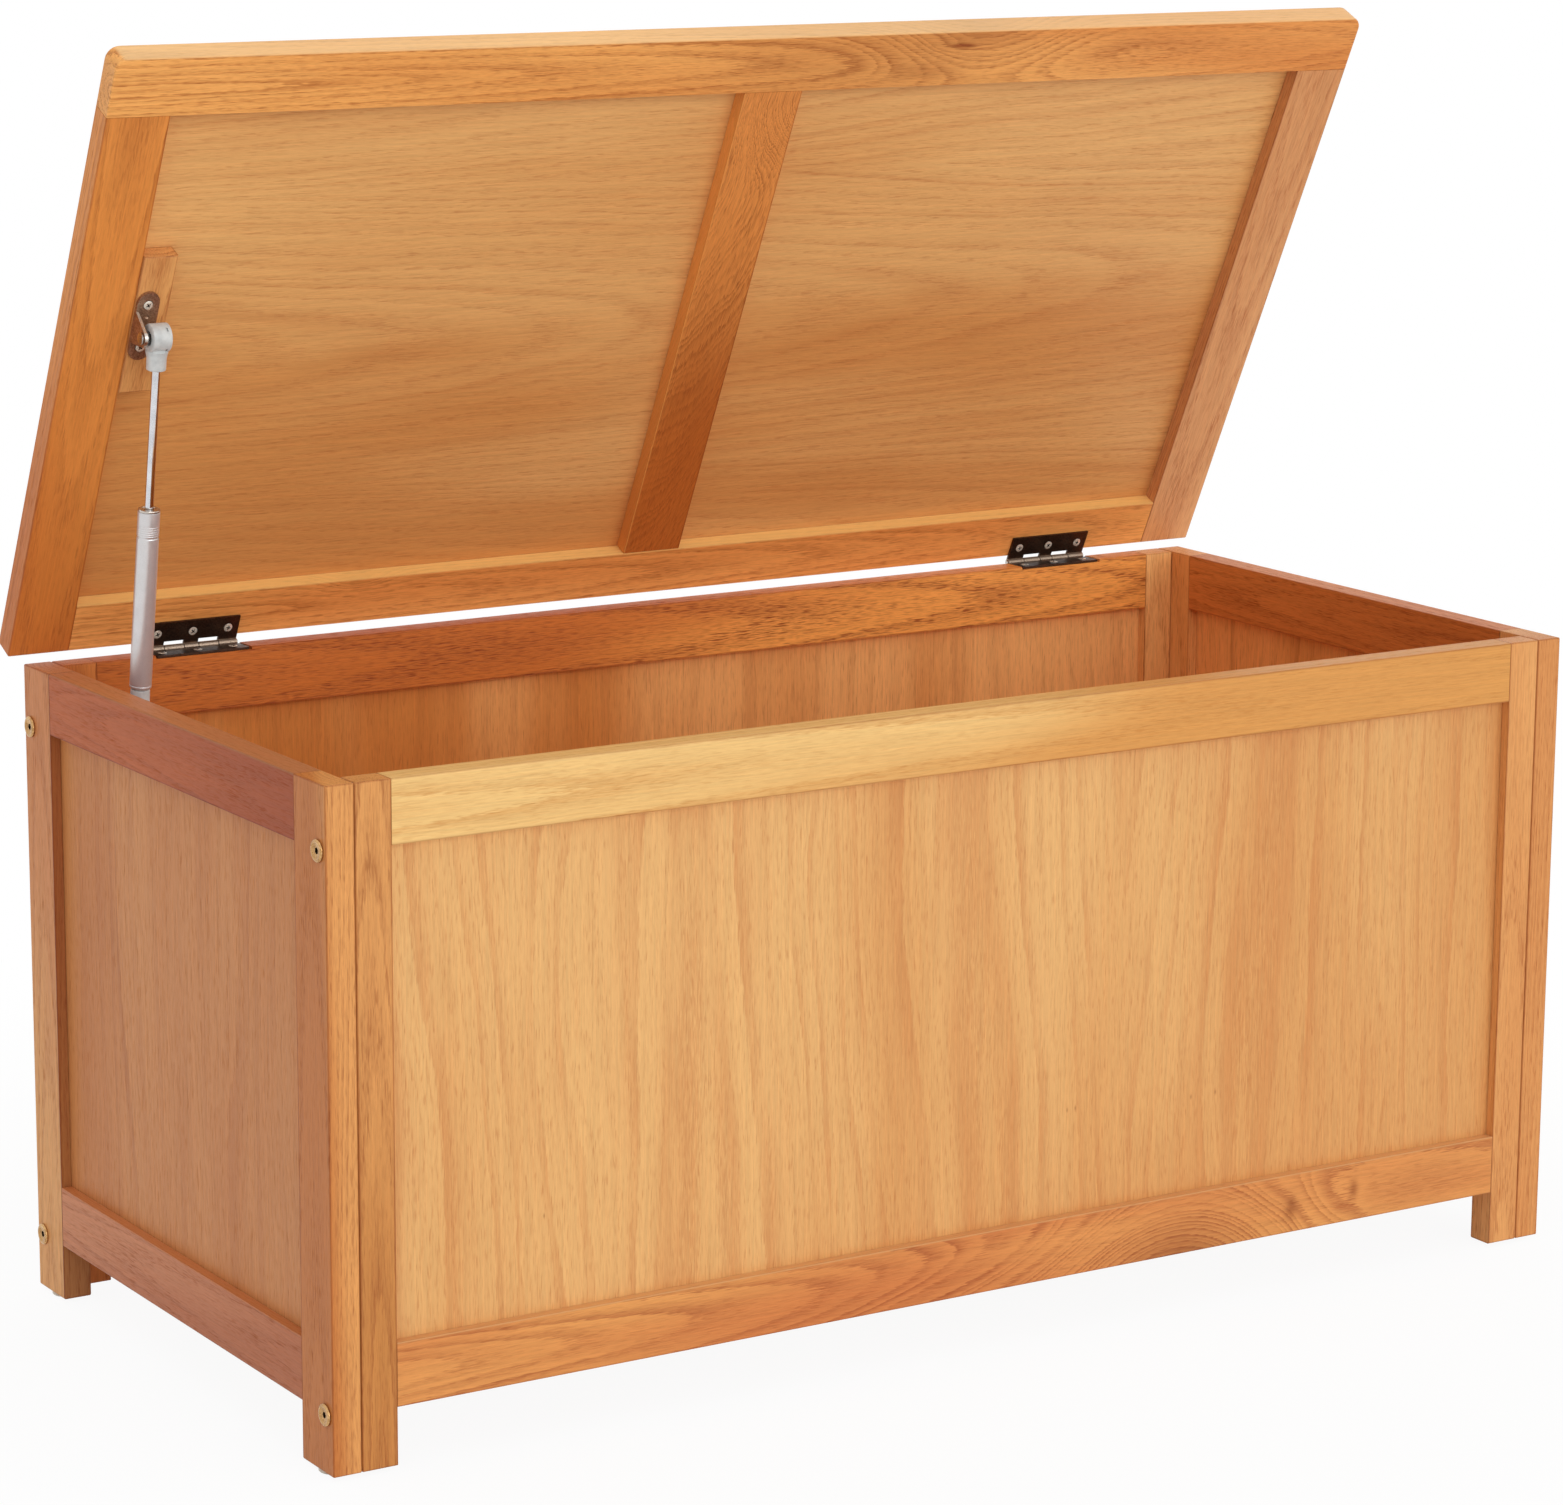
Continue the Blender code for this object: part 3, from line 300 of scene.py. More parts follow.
# %% The oak group: vessels, fibres and colour
PORE_FILTER = (0.80, 0.62, 0.46)
STAIN_FILTER = (0.42, 0.25, 0.16)
flecks = soft_range(stretched_noise(place, 150.0, 1500.0, 1.0), 0.42, 0.64)
dashes = soft_range(stretched_noise(place, 90.0, 950.0, 0.0), 0.52, 0.72)
vessels = times(plus(times(flecks, 0.50), times(dashes, 0.80)), plus(times(early, 0.80), 0.32))
fibres = minus(stretched_noise(place, 16.0, 520.0, 2.0, 0.7), NOISE_MIDDLE)
seed_shift = add(oak_group, "ShaderNodeCombineXYZ", {0: given["Seed"]}).outputs[0]
cloud = stretched_noise(vector_calc("ADD", given["Place"], seed_shift), 1.5, 9.0, 2.0)
drift = soft_range(plus(cloud, vector_calc("DOT_PRODUCT", given["Place"], given["Fade"])), 0.34, 0.68)
patchy = soft_range(stretched_noise(place, 7.0, 60.0, 1.0), 0.30, 0.62, 0.35, 1.0)
ground = blend_colour(drift, given["Pale"], given["Deep"])
rows = plus(row, times(early, given["Thin Lines"]))
lined = blend_colour(times(rows, patchy, given["Line Strength"]), ground, given["Line"])
pore_colour = darkened(given["Line"], PORE_FILTER)
pored = blend_colour(times(vessels, given["Pore Strength"]), lined, pore_colour)
stained = blend_colour(given["Stain"], pored, darkened(pored, STAIN_FILTER))
light = plus(1.0, times(fibres, 0.34))
lit = add(oak_group, "ShaderNodeVectorMath", {0: stained, "Scale": light}, operation="SCALE").outputs[0]

# %% [markdown]
# Varnish gathers at the corners of a board and darkens them, and the same darkening paints
# the shade that falls into the joints between boards. So the group needs to know where the
# board ends. Square Place is the place measured square to the piece, which on the lid's
# middle rail isn't the way its grain runs, and Half is half the board's size.
# One face can also have a tone of its own, which paints the light or shade that falls on
# it: a pale sheen on the front edge of a lid rail, a lighter top strip on a rail, a lighter
# side of the lid's middle rail, a darker face on a leg in shadow. The side's share says how
# much of it shows, and its sign picks the low or the high side. The Bevel node could find
# corners too, but it costs many rays, and a board is nearly a block, so three distances do.

# %% The oak group: corners, painted light and shade on one face, and relief
CORNER_REACH = 0.0014
CORNER_VARNISH_AND_SHADE_FILTER = (0.50, 0.30, 0.18)
halves = split(given["Half"])
square = split(given["Square Place"])
inside = [minus(halves[i], calc("ABSOLUTE", square[i])) for i in range(3)]
nearest = calc("MINIMUM", inside[0], inside[1])
farthest = calc("MAXIMUM", inside[0], inside[1])
second = calc("MAXIMUM", nearest, calc("MINIMUM", farthest, inside[2]))
# Varnish and painted shade: darker along the board's edges, where varnish gathers and shade falls into the
# joints.
corner_varnish_and_shade = times(soft_range(second, CORNER_REACH, 0.0002), given["Edge Dark"])
cornered = blend_colour(corner_varnish_and_shade, lit, darkened(lit, CORNER_VARNISH_AND_SHADE_FILTER))
# Painted light and shade: one face of the board takes its own tone, a pale sheen or a lit strip, or a darker
# shaded face.
from_side = plus(times(square[1], calc("SIGN", given["Side Share"])), halves[1])
painted_lighting_mask = times(soft_range(from_side, CORNER_REACH, 0.0003), calc("ABSOLUTE", given["Side Share"]))
coloured = blend_colour(painted_lighting_mask, cornered, given["Side Tone"])
gloss_loss = plus(0.40, times(vessels, 0.25))
relief = minus(times(fibres, 0.35), plus(vessels, times(early, 0.25)))
fill(handed_on, {"Colour": coloured, "Roughness": gloss_loss, "Height": relief})
print("the oak group has", len(oak_group.nodes), "nodes")

# %% [markdown]
# ## Knots
#
# A knot is a branch that the trunk grew round. The rings swell over it and its own wood
# is dark. A dark spot laid over the colour would be simpler, but the grain would run
# straight through it. In the sum a knot is two numbers: one pushes the rings outward near
# it and one darkens its middle, both bells round its place on the board.

# %% The knot group
CORE_POWER = 5.0
knot_group = new_group(
    "knot",
    {"Place": POINT, "Centre": POINT, "Size": POINT, "Push": 0.0, "Dark": 0.0},
    {"Swell": 0.0, "Stain": 0.0},
)
knot_in = add(knot_group, "NodeGroupInput").outputs
away = vector_calc("SUBTRACT", knot_in["Place"], knot_in["Centre"])
reach = vector_calc("LENGTH", vector_calc("DIVIDE", away, knot_in["Size"]))
bell = calc("EXPONENT", times(reach, reach, -1.0))
core = calc("POWER", bell, CORE_POWER)
knot_out = {"Swell": times(bell, knot_in["Push"]), "Stain": times(core, knot_in["Dark"])}
add(knot_group, "NodeGroupOutput", knot_out)

# %% [markdown]
# ## One material for each board
#
# No two boards of a real box come from the same place in the tree, so each gets a
# material of its own, which cuts its board from its own stretch of trunk. Board space
# has X along the grain, Y across the face and Z out of it. The Mapping node turns the
# object's coordinates into board space, so the grain follows the piece and not the world.
# One shared material with a random shift for each board would be shorter, but then no
# board could have the tone and the knots of its own that the real one has.

# %% A board's material
WOOD_GLOSS = 0.25
BUMP_DEPTH = 0.0003
THROUGH = 0.1


def new_material(name):
    """A material with nodes, its tree and its shader."""
    material = bpy.data.materials.new(name)
    material.use_nodes = True
    tree = material.node_tree
    return material, tree, tree.nodes["Principled BSDF"]


def board_matrix(along_way, across_way, middle, space):
    """The matrix from the box's coordinates to board space."""
    x = Vector(along_way).normalized()
    y = Vector(across_way).normalized()
    turn = Matrix((x, y, x.cross(y))).to_4x4()
    return turn @ shift(-Vector(middle)) @ space.inverted()


def mapped(coordinates, matrix):
    """Coordinates turned and moved by a matrix."""
    mapping = add(coordinates.id_data, "ShaderNodeMapping", {"Vector": coordinates})
    mapping.inputs["Location"].default_value = matrix.translation
    mapping.inputs["Rotation"].default_value = matrix.to_euler()
    return mapping.outputs[0]


def oak(name, to_board, to_square, values, knots, bump=0.35):
    """An oak finish for one board. The values go to the oak group by the names of its sockets."""
    material, tree, shader = new_material(name)
    shader.inputs["Specular IOR Level"].default_value = WOOD_GLOSS
    coordinates = add(tree, "ShaderNodeTexCoord").outputs["Object"]
    board_place = mapped(coordinates, to_board)
    inputs = {"Place": board_place, "Square Place": mapped(coordinates, to_square), **values}
    marks = []
    for x, y, length, width, push, dark in knots:
        mark = {"Place": board_place, "Centre": (x, y, 0.0), "Size": (length, width, THROUGH)}
        mark.update({"Push": push, "Dark": dark})
        marks.append(add(tree, "ShaderNodeGroup", mark, node_tree=knot_group).outputs)
    if marks:
        inputs["Swell"] = plus(*[mark["Swell"] for mark in marks])
        inputs["Stain"] = plus(*[mark["Stain"] for mark in marks])
    board = add(tree, "ShaderNodeGroup", inputs, node_tree=oak_group).outputs
    relief_inputs = {"Height": board["Height"], "Strength": bump, "Distance": BUMP_DEPTH}
    normal = add(tree, "ShaderNodeBump", relief_inputs).outputs[0]
    fill(shader, {"Base Color": board["Colour"], "Roughness": board["Roughness"], "Normal": normal})
    return material


# %% [markdown]
# A look is a cut and a tone. Most of the frame is rift-sawn stock, and some of it is
# flat-sawn, with a bolder figure. The arched cut is for the lid's middle rail: its trunk
# slopes up steeply through the board. Of the two veneers, the wide-figured one is for
# the box's panels and the fine one for the lid's. The tones run from pale straw to deep
# orange: boards differ, and the varnish warmed them all. Cuts and tones are two tables,
# because a board may pair any cut with any tone.

# %% Cuts
CUTS = {
    "rift": dict(
        ring_width=0.0034, heart_depth=0.05, slant=0.02, wander=0.0045, fray=0.5,
        line_strength=0.50, line_sharpness=1.8, pore_strength=0.50,
    ),
    "flat": dict(
        ring_width=0.0042, heart_depth=0.026, slant=0.035, wander=0.008, fray=0.6,
        line_strength=0.62, line_sharpness=1.8, pore_strength=0.50,
    ),
    "arched": dict(
        ring_width=0.0027, heart_depth=0.056, slant=0.36, wander=0.030, fray=1.3,
        heart_side=-0.046, line_strength=0.62, line_sharpness=1.5, pore_strength=0.38,
    ),
    "veneer": dict(
        ring_width=0.025, heart_depth=0.012, slant=0.06, wander=0.036, fine_rings=5.0,
        fray=0.26, line_strength=1.0, line_sharpness=4.6, thin_lines=0.16,
        pore_strength=0.34, leaf=0.235,
    ),
    "fine veneer": dict(
        ring_width=0.0105, heart_depth=0.12, slant=0.05, wander=0.020, fine_rings=2.3,
        fray=0.25, line_strength=0.46, line_sharpness=2.8, thin_lines=0.34,
        pore_strength=0.30, leaf=0.24,
    ),
}
print(len(CUTS), "cuts")

# %% Tones: pale, deep and line
TONES = {
    "straw": "EFC47E DA9950 D0924C",
    "honey": "E6A664 D68F50 B4662E",
    "leg": "E29E5A C87A3B A0592C",
    "stile": "DC9A58 C98645 A4602E",
    "light honey": "E6A764 D8945A B46C38",
    "rear leg": "E6A764 D0844C AC6434",
    "panel": "E7B473 DCA161 C4753C",
    "rose panel": "D38F56 C87F46 A85E30",
    "rose": "BA5D26 A64B18 7E3616",
    "red": "E6A25A D07C42 9C4820",
    "orange": "FCB666 DE883E AA5A20",
    "amber": "E49145 CA7331 9C501C",
    "middle rail": "E6944A C46C2C 944A1A",
    "pink honey": "EAAE76 D8965E B87244",
    "peach": "CD8458 B96B40 965030",
    "lid panel": "EAB370 DA9856 BC7038",
    "rear rail": "FCB868 F09C52 B4682C",
    "deep": "E28E48 CE7636 A05422",
    "deep panel": "FFB66E EEA45C B06A34",
    # The inner tones are for faces inside the box: their extra orange paints the warm light that bounces
    # round inside, and the bright one also paints light onto faces that lie in shade.
    "inner": "FCB870 DA8840 B06430",
    "warm inner": "FCA852 D07430 9C4E1E",
    "bright inner": "FFC67E F4AC64 BC7038",
}
print(len(TONES), "tones")

# %% Dressing a board
UP, DOWN, BACK, RIGHT = (0, 0, 1), (0, 0, -1), (0, 1, 0), (1, 0, 0)
FIRST_SEED = 2.0
SEED_STEP = 6.37
dressed = []


def extent(name, space):
    """Lowest and highest corner of a solid, measured in a space."""
    points = [space.inverted() @ vert.co for vert in nodes[name].data.vertices]
    return [Vector([end(values) for values in zip(*points)]) for end in (min, max)]


def dress(name, along_way, across_way, cut, tones, knots=(), space=world_space, **changes):
    """Gives a wooden solid its board. Its seed follows from how many boards came before."""
    low, high = extent(name, space)
    middle = (low + high) / 2
    square_ways = [Vector([round(v) for v in way]) for way in (along_way, across_way)]
    outward = square_ways[0].cross(square_ways[1])
    values = dict(zip(("pale", "deep", "line"), TONES[tones].split()), **CUTS[cut])
    values["half"] = [abs((high - low).dot(way)) / 2 for way in (*square_ways, outward)]
    values["seed"] = FIRST_SEED + SEED_STEP * len(dressed)
    inputs = {}
    for key, value in {**values, **changes}.items():
        inputs[key.replace("_", " ").title()] = tone(value) if isinstance(value, str) else value
    to_board = board_matrix(along_way, across_way, middle, space)
    to_square = board_matrix(*square_ways, middle, space)
    nodes[name].material_slots[0].material = oak(name, to_board, to_square, inputs, knots)
    dressed.append(name)


# %% [markdown]
# The body comes first. A knot is given by its place on the board, its length and width,
# how far it pushes the rings and how dark it is. The front panel has a few pin knots, each
# hardly wider than a match. The front's bottom rail has a broad swirl with two dark spots.

# %% Dress the front and the back
PIN_KNOT = (0.0035, 0.0015, 0.002, 0.6)
PANEL_PINS = ((-0.0965, -0.3346), (-0.0870, 0.0727), (-0.0865, 0.0795), (-0.0930, 0.1775), (-0.0925, 0.1985))
panel_pins = [(*pin, *PIN_KNOT) for pin in PANEL_PINS]
swirl = [
    (0.165, -0.034, 0.095, 0.060, 0.090, 0.45),
    (0.040, -0.034, 0.130, 0.045, 0.022, 0.05),
    (0.165, -0.020, 0.110, 0.050, 0.0, 0.30),
    (0.262, -0.004, 0.013, 0.018, 0.002, 0.75),
    (0.318, 0.002, 0.009, 0.016, 0.002, 0.75),
]
dress("front_left_stile", UP, RIGHT, "flat", "stile", fade=(-1.2, 0, 0))
dress("front_right_stile", UP, RIGHT, "rift", "honey")
dress(
    "front_top_rail", RIGHT, UP, "flat", "straw",
    fade=(0.42, 0, 0), slant=0.012, line_strength=0.7, thin_lines=0.5, pore_strength=0.35,
)
# The paler tone on this rail's top face is painted light on the strip that faces up.
dress(
    "front_bottom_rail", RIGHT, UP, "flat", "red", swirl,
    line_strength=0.7, pore_strength=0.3, side_share=-0.7, side_tone="E2AA70",
)
dress("front_panel", UP, RIGHT, "veneer", "panel", panel_pins, fade=(-0.5, 0.45, 0))
dress("back_left_stile", UP, RIGHT, "rift", "deep")
dress("back_right_stile", UP, RIGHT, "rift", "bright inner")
dress("back_top_rail", RIGHT, UP, "rift", "warm inner", fade=(-0.75, 0, 0), pore_strength=0.85)
dress("back_bottom_rail", RIGHT, UP, "rift", "honey")
dress("back_panel", UP, RIGHT, "veneer", "inner", fade=(0, -0.5, 0), line_strength=0.55)
print(len(dressed), "boards dressed")

# %% Dress the two ends and the bottom
# The large second and third numbers of this fade make the leg's front face paler and its outer face deeper:
# painted light and shade.
dress("left_front_leg", UP, BACK, "rift", "leg", fade=(-0.7, 6, 24))
# The dark tone on this leg's front face is painted shade.
dress("left_rear_leg", UP, BACK, "flat", "rear leg", fade=(0.9, 0, 0), side_share=0.6, side_tone="7C3B1C")
# The pale tone on this rail's top face is a painted sheen.
dress(
    "left_top_rail", BACK, DOWN, "flat", "rose",
    line_strength=0.4, pore_strength=0.2, fade=(-1, 0, 0), side_share=0.15,
)
# The paler tone on this rail's top face is painted light on the strip that faces up.
dress(
    "left_bottom_rail", BACK, UP, "rift", "peach",
    fade=(-1.2, 0, 0), pore_strength=0.35, side_share=-0.7, side_tone="D08046",
)
dress("left_panel", UP, BACK, "veneer", "rose panel", leaf=0.2)
dress("right_front_leg", UP, BACK, "rift", "honey")
dress("right_rear_leg", UP, BACK, "rift", "bright inner")
dress("right_top_rail", BACK, UP, "flat", "deep")
dress("right_bottom_rail", BACK, UP, "rift", "honey")
dress("right_panel", UP, BACK, "veneer", "deep panel")
dress("bottom_board", RIGHT, BACK, "veneer", "lid panel")
print(len(dressed), "boards dressed")

# %% [markdown]
# The lid's boards are laid out in lid space. Its front rail has a knot with the grain
# swept round it, and a broad stain that warms the wood beside it. The middle rail's board
# is turned a little against the piece, so its grain runs aslant, and a swell near its
# front end bends the rings into arches.

# %% Dress the lid
lid_knot = [
    (0.165, -0.024, 0.075, 0.040, 0.036, 0.30),
    (0.148, -0.010, 0.024, 0.0040, 0.004, 0.95),
    (0.120, 0.010, 0.060, 0.018, 0.0, 0.30),
    (0.070, 0.0, 0.280, 0.120, 0.0, 0.32),
]
rear_knot = [(-0.240, -0.018, 0.030, 0.012, 0.012, 0.25)]
middle_marks = [
    (-0.190, 0.010, 0.050, 0.050, 0.070, 0.0),
    (0.020, 0.0, 0.190, 0.150, 0.0, 0.30),
]
dress_lid = partial(dress, space=lid_space)
# The pale tone on this rail's front edge is a painted sheen, a reflection at a grazing angle.
dress_lid(
    "lid_front_rail", RIGHT, BACK, "flat", "orange", lid_knot,
    edge_dark=0, side_share=0.5, fade=(0.05, 0, 0),
)
# The pale tone on this rail's front edge is a painted sheen, a reflection at a grazing angle.
dress_lid(
    "lid_rear_rail", RIGHT, BACK, "flat", "rear rail", rear_knot,
    edge_dark=0, side_share=0.6, side_tone="FFD482",
)
dress_lid("lid_left_stile", BACK, RIGHT, "rift", "amber", fade=(0.5, 0, 0), pore_strength=0.35)
dress_lid("lid_right_stile", BACK, RIGHT, "rift", "pink honey", fade=(-0.5, 0, 0))
# The lighter tone on this rail's left side is painted light.
dress_lid(
    "lid_mullion", (-0.1, 1, 0), (1, 0.1, 0), "arched", "middle rail", middle_marks,
    fade=(0.8, 0, 0), side_share=0.55, side_tone="FFB05C",
)
dress_lid("strut_block", BACK, RIGHT, "flat", "light honey")
for name in ("lid_left_panel", "lid_right_panel"):
    dress_lid(name, RIGHT, BACK, "fine veneer", "lid panel", fade=(0, 0.6, 0))
print(len(dressed), "boards dressed")

# %% [markdown]
# ## Metal and plastic
#
# The fittings are bronzed steel, nickel, chrome, brass, a tube with a silver coat, and
# two plastics. Bronzed steel is dark because the steel is blackened, its gloss is uneven,
# and on a hinge's barrel the bare metal rubs through. A turned ball stud carries fine
# rings from the lathe, so its noise changes fast along the turning axis and hardly round
# it. The rod and the tube are ground finer than the eye can see, so theirs is even. A
# finish could have a separate texture for tone, roughness and relief, but on real metal
# the three change in the same places. So each finish below is one noise that drives all
# three together.

# %% How a fitting's finish is made
CLOUD_CELLS = 90.0
RELIEF_DEPTH = 0.0001
BARREL_OUTSIDE = 0.0031
BARREL_RUBBED = 0.0027


def fitting_finish(name, dark, light, metallic, rough, cells, spread=0.14, relief=0.08, barrel=None):
    """A metal or plastic finish. Cells are the noise's cells in a metre along X, Y and Z."""
    material, tree, shader = new_material(name)
    shader.inputs["Metallic"].default_value = metallic
    at = add(tree, "ShaderNodeTexCoord").outputs["Object"]
    drawn = {"Vector": vector_calc("MULTIPLY", at, cells), "Scale": 1.0, "Detail": 3.0}
    grain = add(tree, "ShaderNodeTexNoise", drawn).outputs["Fac"]
    broad = {"Vector": at, "Scale": CLOUD_CELLS, "Detail": 2.0}
    cloud = add(tree, "ShaderNodeTexNoise", broad).outputs["Fac"]
    share = soft_range(plus(times(grain, 0.6), times(cloud, 0.4)), 0.3, 0.7)
    colour = blend_colour(share, tone(dark), tone(light))
    if barrel:
        off = split(at)
        off_pin = calc("SQRT", plus(calc("POWER", off[1], 2.0), calc("POWER", off[2], 2.0)))
        uneven = soft_range(grain, 0.25, 0.5, 0.45, 1.0)
        rubbed = times(soft_range(off_pin, BARREL_OUTSIDE, BARREL_RUBBED), uneven)
        colour = blend_colour(rubbed, colour, tone(barrel))
    roughness = soft_range(share, 0.0, 1.0, rough + spread / 2, rough - spread / 2)
    bump = {"Height": grain, "Strength": relief, "Distance": RELIEF_DEPTH}
    normal = add(tree, "ShaderNodeBump", bump).outputs[0]
    fill(shader, {"Base Color": colour, "Roughness": roughness, "Normal": normal})
    return material


# %% Finishes for the fittings
EVEN = (900.0, 900.0, 900.0)
RINGS = (60.0, 60.0, 7000.0)
SATIN = (2400.0, 2400.0, 2400.0)
MOULDED = (260.0, 260.0, 260.0)
bronze = fitting_finish("bronzed steel", "382820", "5A4436", 0.85, 0.40, EVEN, barrel="A08C7A")
bracket_bronze = fitting_finish("bracket bronze", "84624C", "C4A48A", 0.80, 0.36, EVEN)
bright_edge = fitting_finish("bright edge", "B9AFA4", "E4DED6", 1.0, 0.30, EVEN)
screw_nickel = fitting_finish("screw nickel", "D8D0BE", "FFFAEE", 0.45, 0.26, (2500.0, 2500.0, 2500.0))
# The near-black recess finish is painted shade inside the screw's cross recess.
recess_shade = fitting_finish("screw recess shade", "1A1410", "2C2420", 0.5, 0.6, EVEN)
turned_nickel = fitting_finish("turned nickel", "8F8A84", "D6D2CC", 1.0, 0.24, RINGS)
chrome = fitting_finish("chrome", "C4C4C8", "E4E4E6", 1.0, 0.10, SATIN, 0.04, 0.01)
tube_silver = fitting_finish("silver tube", "D0CDCD", "E0DEDE", 0.62, 0.34, SATIN, 0.05, 0.02)
brass = fitting_finish("bolt brass", "9C6E38", "E6BA80", 0.8, 0.24, (1600.0, 1600.0, 500.0))
# The near-black socket finish is painted shade inside the bolt's hexagon socket.
socket_shade = fitting_finish("bolt socket shade", "20150C", "3C2A1A", 0.7, 0.5, EVEN)
grey_plastic = fitting_finish("grey plastic", "BCBFBE", "D3D5D3", 0.0, 0.42, MOULDED, 0.1, 0.05)
glide_plastic = fitting_finish("glide plastic", "C9BFAE", "E2DACB", 0.0, 0.5, MOULDED)
print(len(bpy.data.materials), "materials so far")

# %% [markdown]
# ## Making and placing small pieces
#
# The small parts could be modelled by hand in Edit Mode. Made by numbers they take their
# size from the solids, so they still fit when those change. A lathe turns a profile round
# Z. A carving step joins or cuts two shapes and hands back one. And a piece is put in its
# place with the space that it was drawn in, told which body carries it, and, where it
# takes over from a plain solid, told which one.

# %% Helpers that make shapes
FLAT_TURN = math.radians(0.5)
SHARP_TURN = 38


def lathe(profile, steps=64):
    """Turns points (radius, height) round Z. A profile that starts and ends on the axis closes."""
    shape = bmesh.new()
    rows = []
    for radius, height in profile:
        count = 1 if radius < 1e-7 else steps
        turns = [2 * math.pi * i / steps for i in range(count)]
        rows.append([shape.verts.new((radius * math.cos(a), radius * math.sin(a), height)) for a in turns])
    for low, high in zip(rows, rows[1:]):
        for i in range(steps):
            corners = []
            for row, offset in ((low, 0), (low, 1), (high, 1), (high, 0)):
                corner = row[(i + offset) % len(row)]
                if corner not in corners:
                    corners.append(corner)
            if len(corners) > 2:
                shape.faces.new(corners)
    bmesh.ops.recalc_face_normals(shape, faces=shape.faces)
    return shape


def arc(radius, middle, turns):
    """Points (radius, height) of an arc in a profile. A turn of 0 degrees is its top."""
    around = [math.radians(turn) for turn in turns]
    return [(middle[0] + radius * math.sin(a), middle[1] + radius * math.cos(a)) for a in around]


def brick(half_size, floor, ceiling, bottom=1.0):
    """A block about Z, with its lower end drawn in to a share of its width."""
    shape = bmesh.new()
    bmesh.ops.create_cube(shape, size=1.0)
    for vert in shape.verts:
        low = vert.co.z < 0
        share = bottom if low else 1.0
        width = [math.copysign(half_size[i] * share, vert.co[i]) for i in range(2)]
        vert.co = Vector((*width, floor if low else ceiling))
    return shape


def moved(shape, matrix):
    """The same shape, moved by a matrix."""
    bmesh.ops.transform(shape, matrix=matrix, verts=shape.verts)
    return shape


def loose_object(shape):
    """A shape as an object for a moment."""
    mesh = bpy.data.meshes.new("loose")
    shape.to_mesh(mesh)
    shape.free()
    made = bpy.data.objects.new("loose", mesh)
    bpy.context.scene.collection.objects.link(made)
    return made


def discard(made):
    """Removes an object and its mesh."""
    mesh = made.data
    bpy.data.objects.remove(made)
    bpy.data.meshes.remove(mesh)


def carved(shape, tools, operation="DIFFERENCE"):
    """Cuts each tool out of a shape, or joins it on."""
    body = loose_object(shape)
    for tool_shape in tools:
        tool = loose_object(tool_shape)
        step = body.modifiers.new("carve", "BOOLEAN")
        step.operation = operation
        step.solver = "EXACT"
        step.object = tool
        result = bmesh.new()
        result.from_object(body, bpy.context.evaluated_depsgraph_get())
        body.modifiers.clear()
        result.to_mesh(body.data)
        result.free()
        discard(tool)
    result = bmesh.new()
    result.from_mesh(body.data)
    discard(body)
    return result


def solid_of(name, space):
    """A solid of the frame as one welded shape, drawn in a space."""
    shape = bmesh.new()
    shape.from_mesh(nodes[name].data)
    bmesh.ops.remove_doubles(shape, verts=shape.verts, dist=1e-6)
    bmesh.ops.dissolve_limit(shape, angle_limit=FLAT_TURN, verts=shape.verts, edges=shape.edges)
    return moved(shape, space.inverted())


# %% Helpers that finish and place a piece
def shade(shape, sharp):
    """Smooth faces, with sharp edges where the surface turns by more than an angle."""
    for face in shape.faces:
        face.smooth = True
    for edge in shape.edges:
        edge.smooth = len(edge.link_faces) == 2 and edge.calc_face_angle(0.0) < math.radians(sharp)


def finished(name, shape, finishes, sharp=SHARP_TURN, rounding=0.0):
    """A mesh with its finishes, smooth shading and a fine rounding along its sharp edges."""
    shade(shape, sharp)
    if rounding:
        hard = [edge for edge in shape.edges if not edge.smooth and len(edge.link_faces) == 2]
        bmesh.ops.bevel(
            shape, geom=hard, offset=rounding, segments=2, profile=0.5, affect="EDGES", clamp_overlap=True
        )
        shade(shape, sharp)
    mesh = bpy.data.meshes.new(name)
    shape.to_mesh(mesh)
    shape.free()
    for finish in finishes:
        mesh.materials.append(finish)
    return mesh


def place_mesh(name, mesh, space, body, stands_for=()):
    """Puts a mesh in its space, on its body, and in the place of the solids it stands for."""
    made = bpy.data.objects.new(name, mesh)
    bpy.context.scene.collection.objects.link(made)
    made.matrix_world = space
    even = made.modifiers.new("even shading", "WEIGHTED_NORMAL")
    even.keep_sharp = True
    even.weight = 100
    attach(made, body)
    if stands_for:
        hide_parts(*stands_for)
    return made


def place_shape(name, shape, finishes, space, body, slot_name, stands_for, **edges):
    """Finishes a shape and puts it in the place of one solid."""
    place_mesh(name, finished(name, shape, finishes, **edges), space, body, (stands_for,))


# %% [markdown]
# ## The gas strut
#
# Each half of the strut has a space of its own, with a ball at its origin and Z up the
# strut: foot space at the lower ball and strut space at the upper one. The tube is drawn
# steel. Its closed end is rounded, and near its mouth it is rolled in to hold the guide,
# with a few fine rings above that roll. A turned cap closes the mouth round the rod. A
# bump texture could fake the roll and the rings, but they break the tube's outline, so
# they are points of its profile.

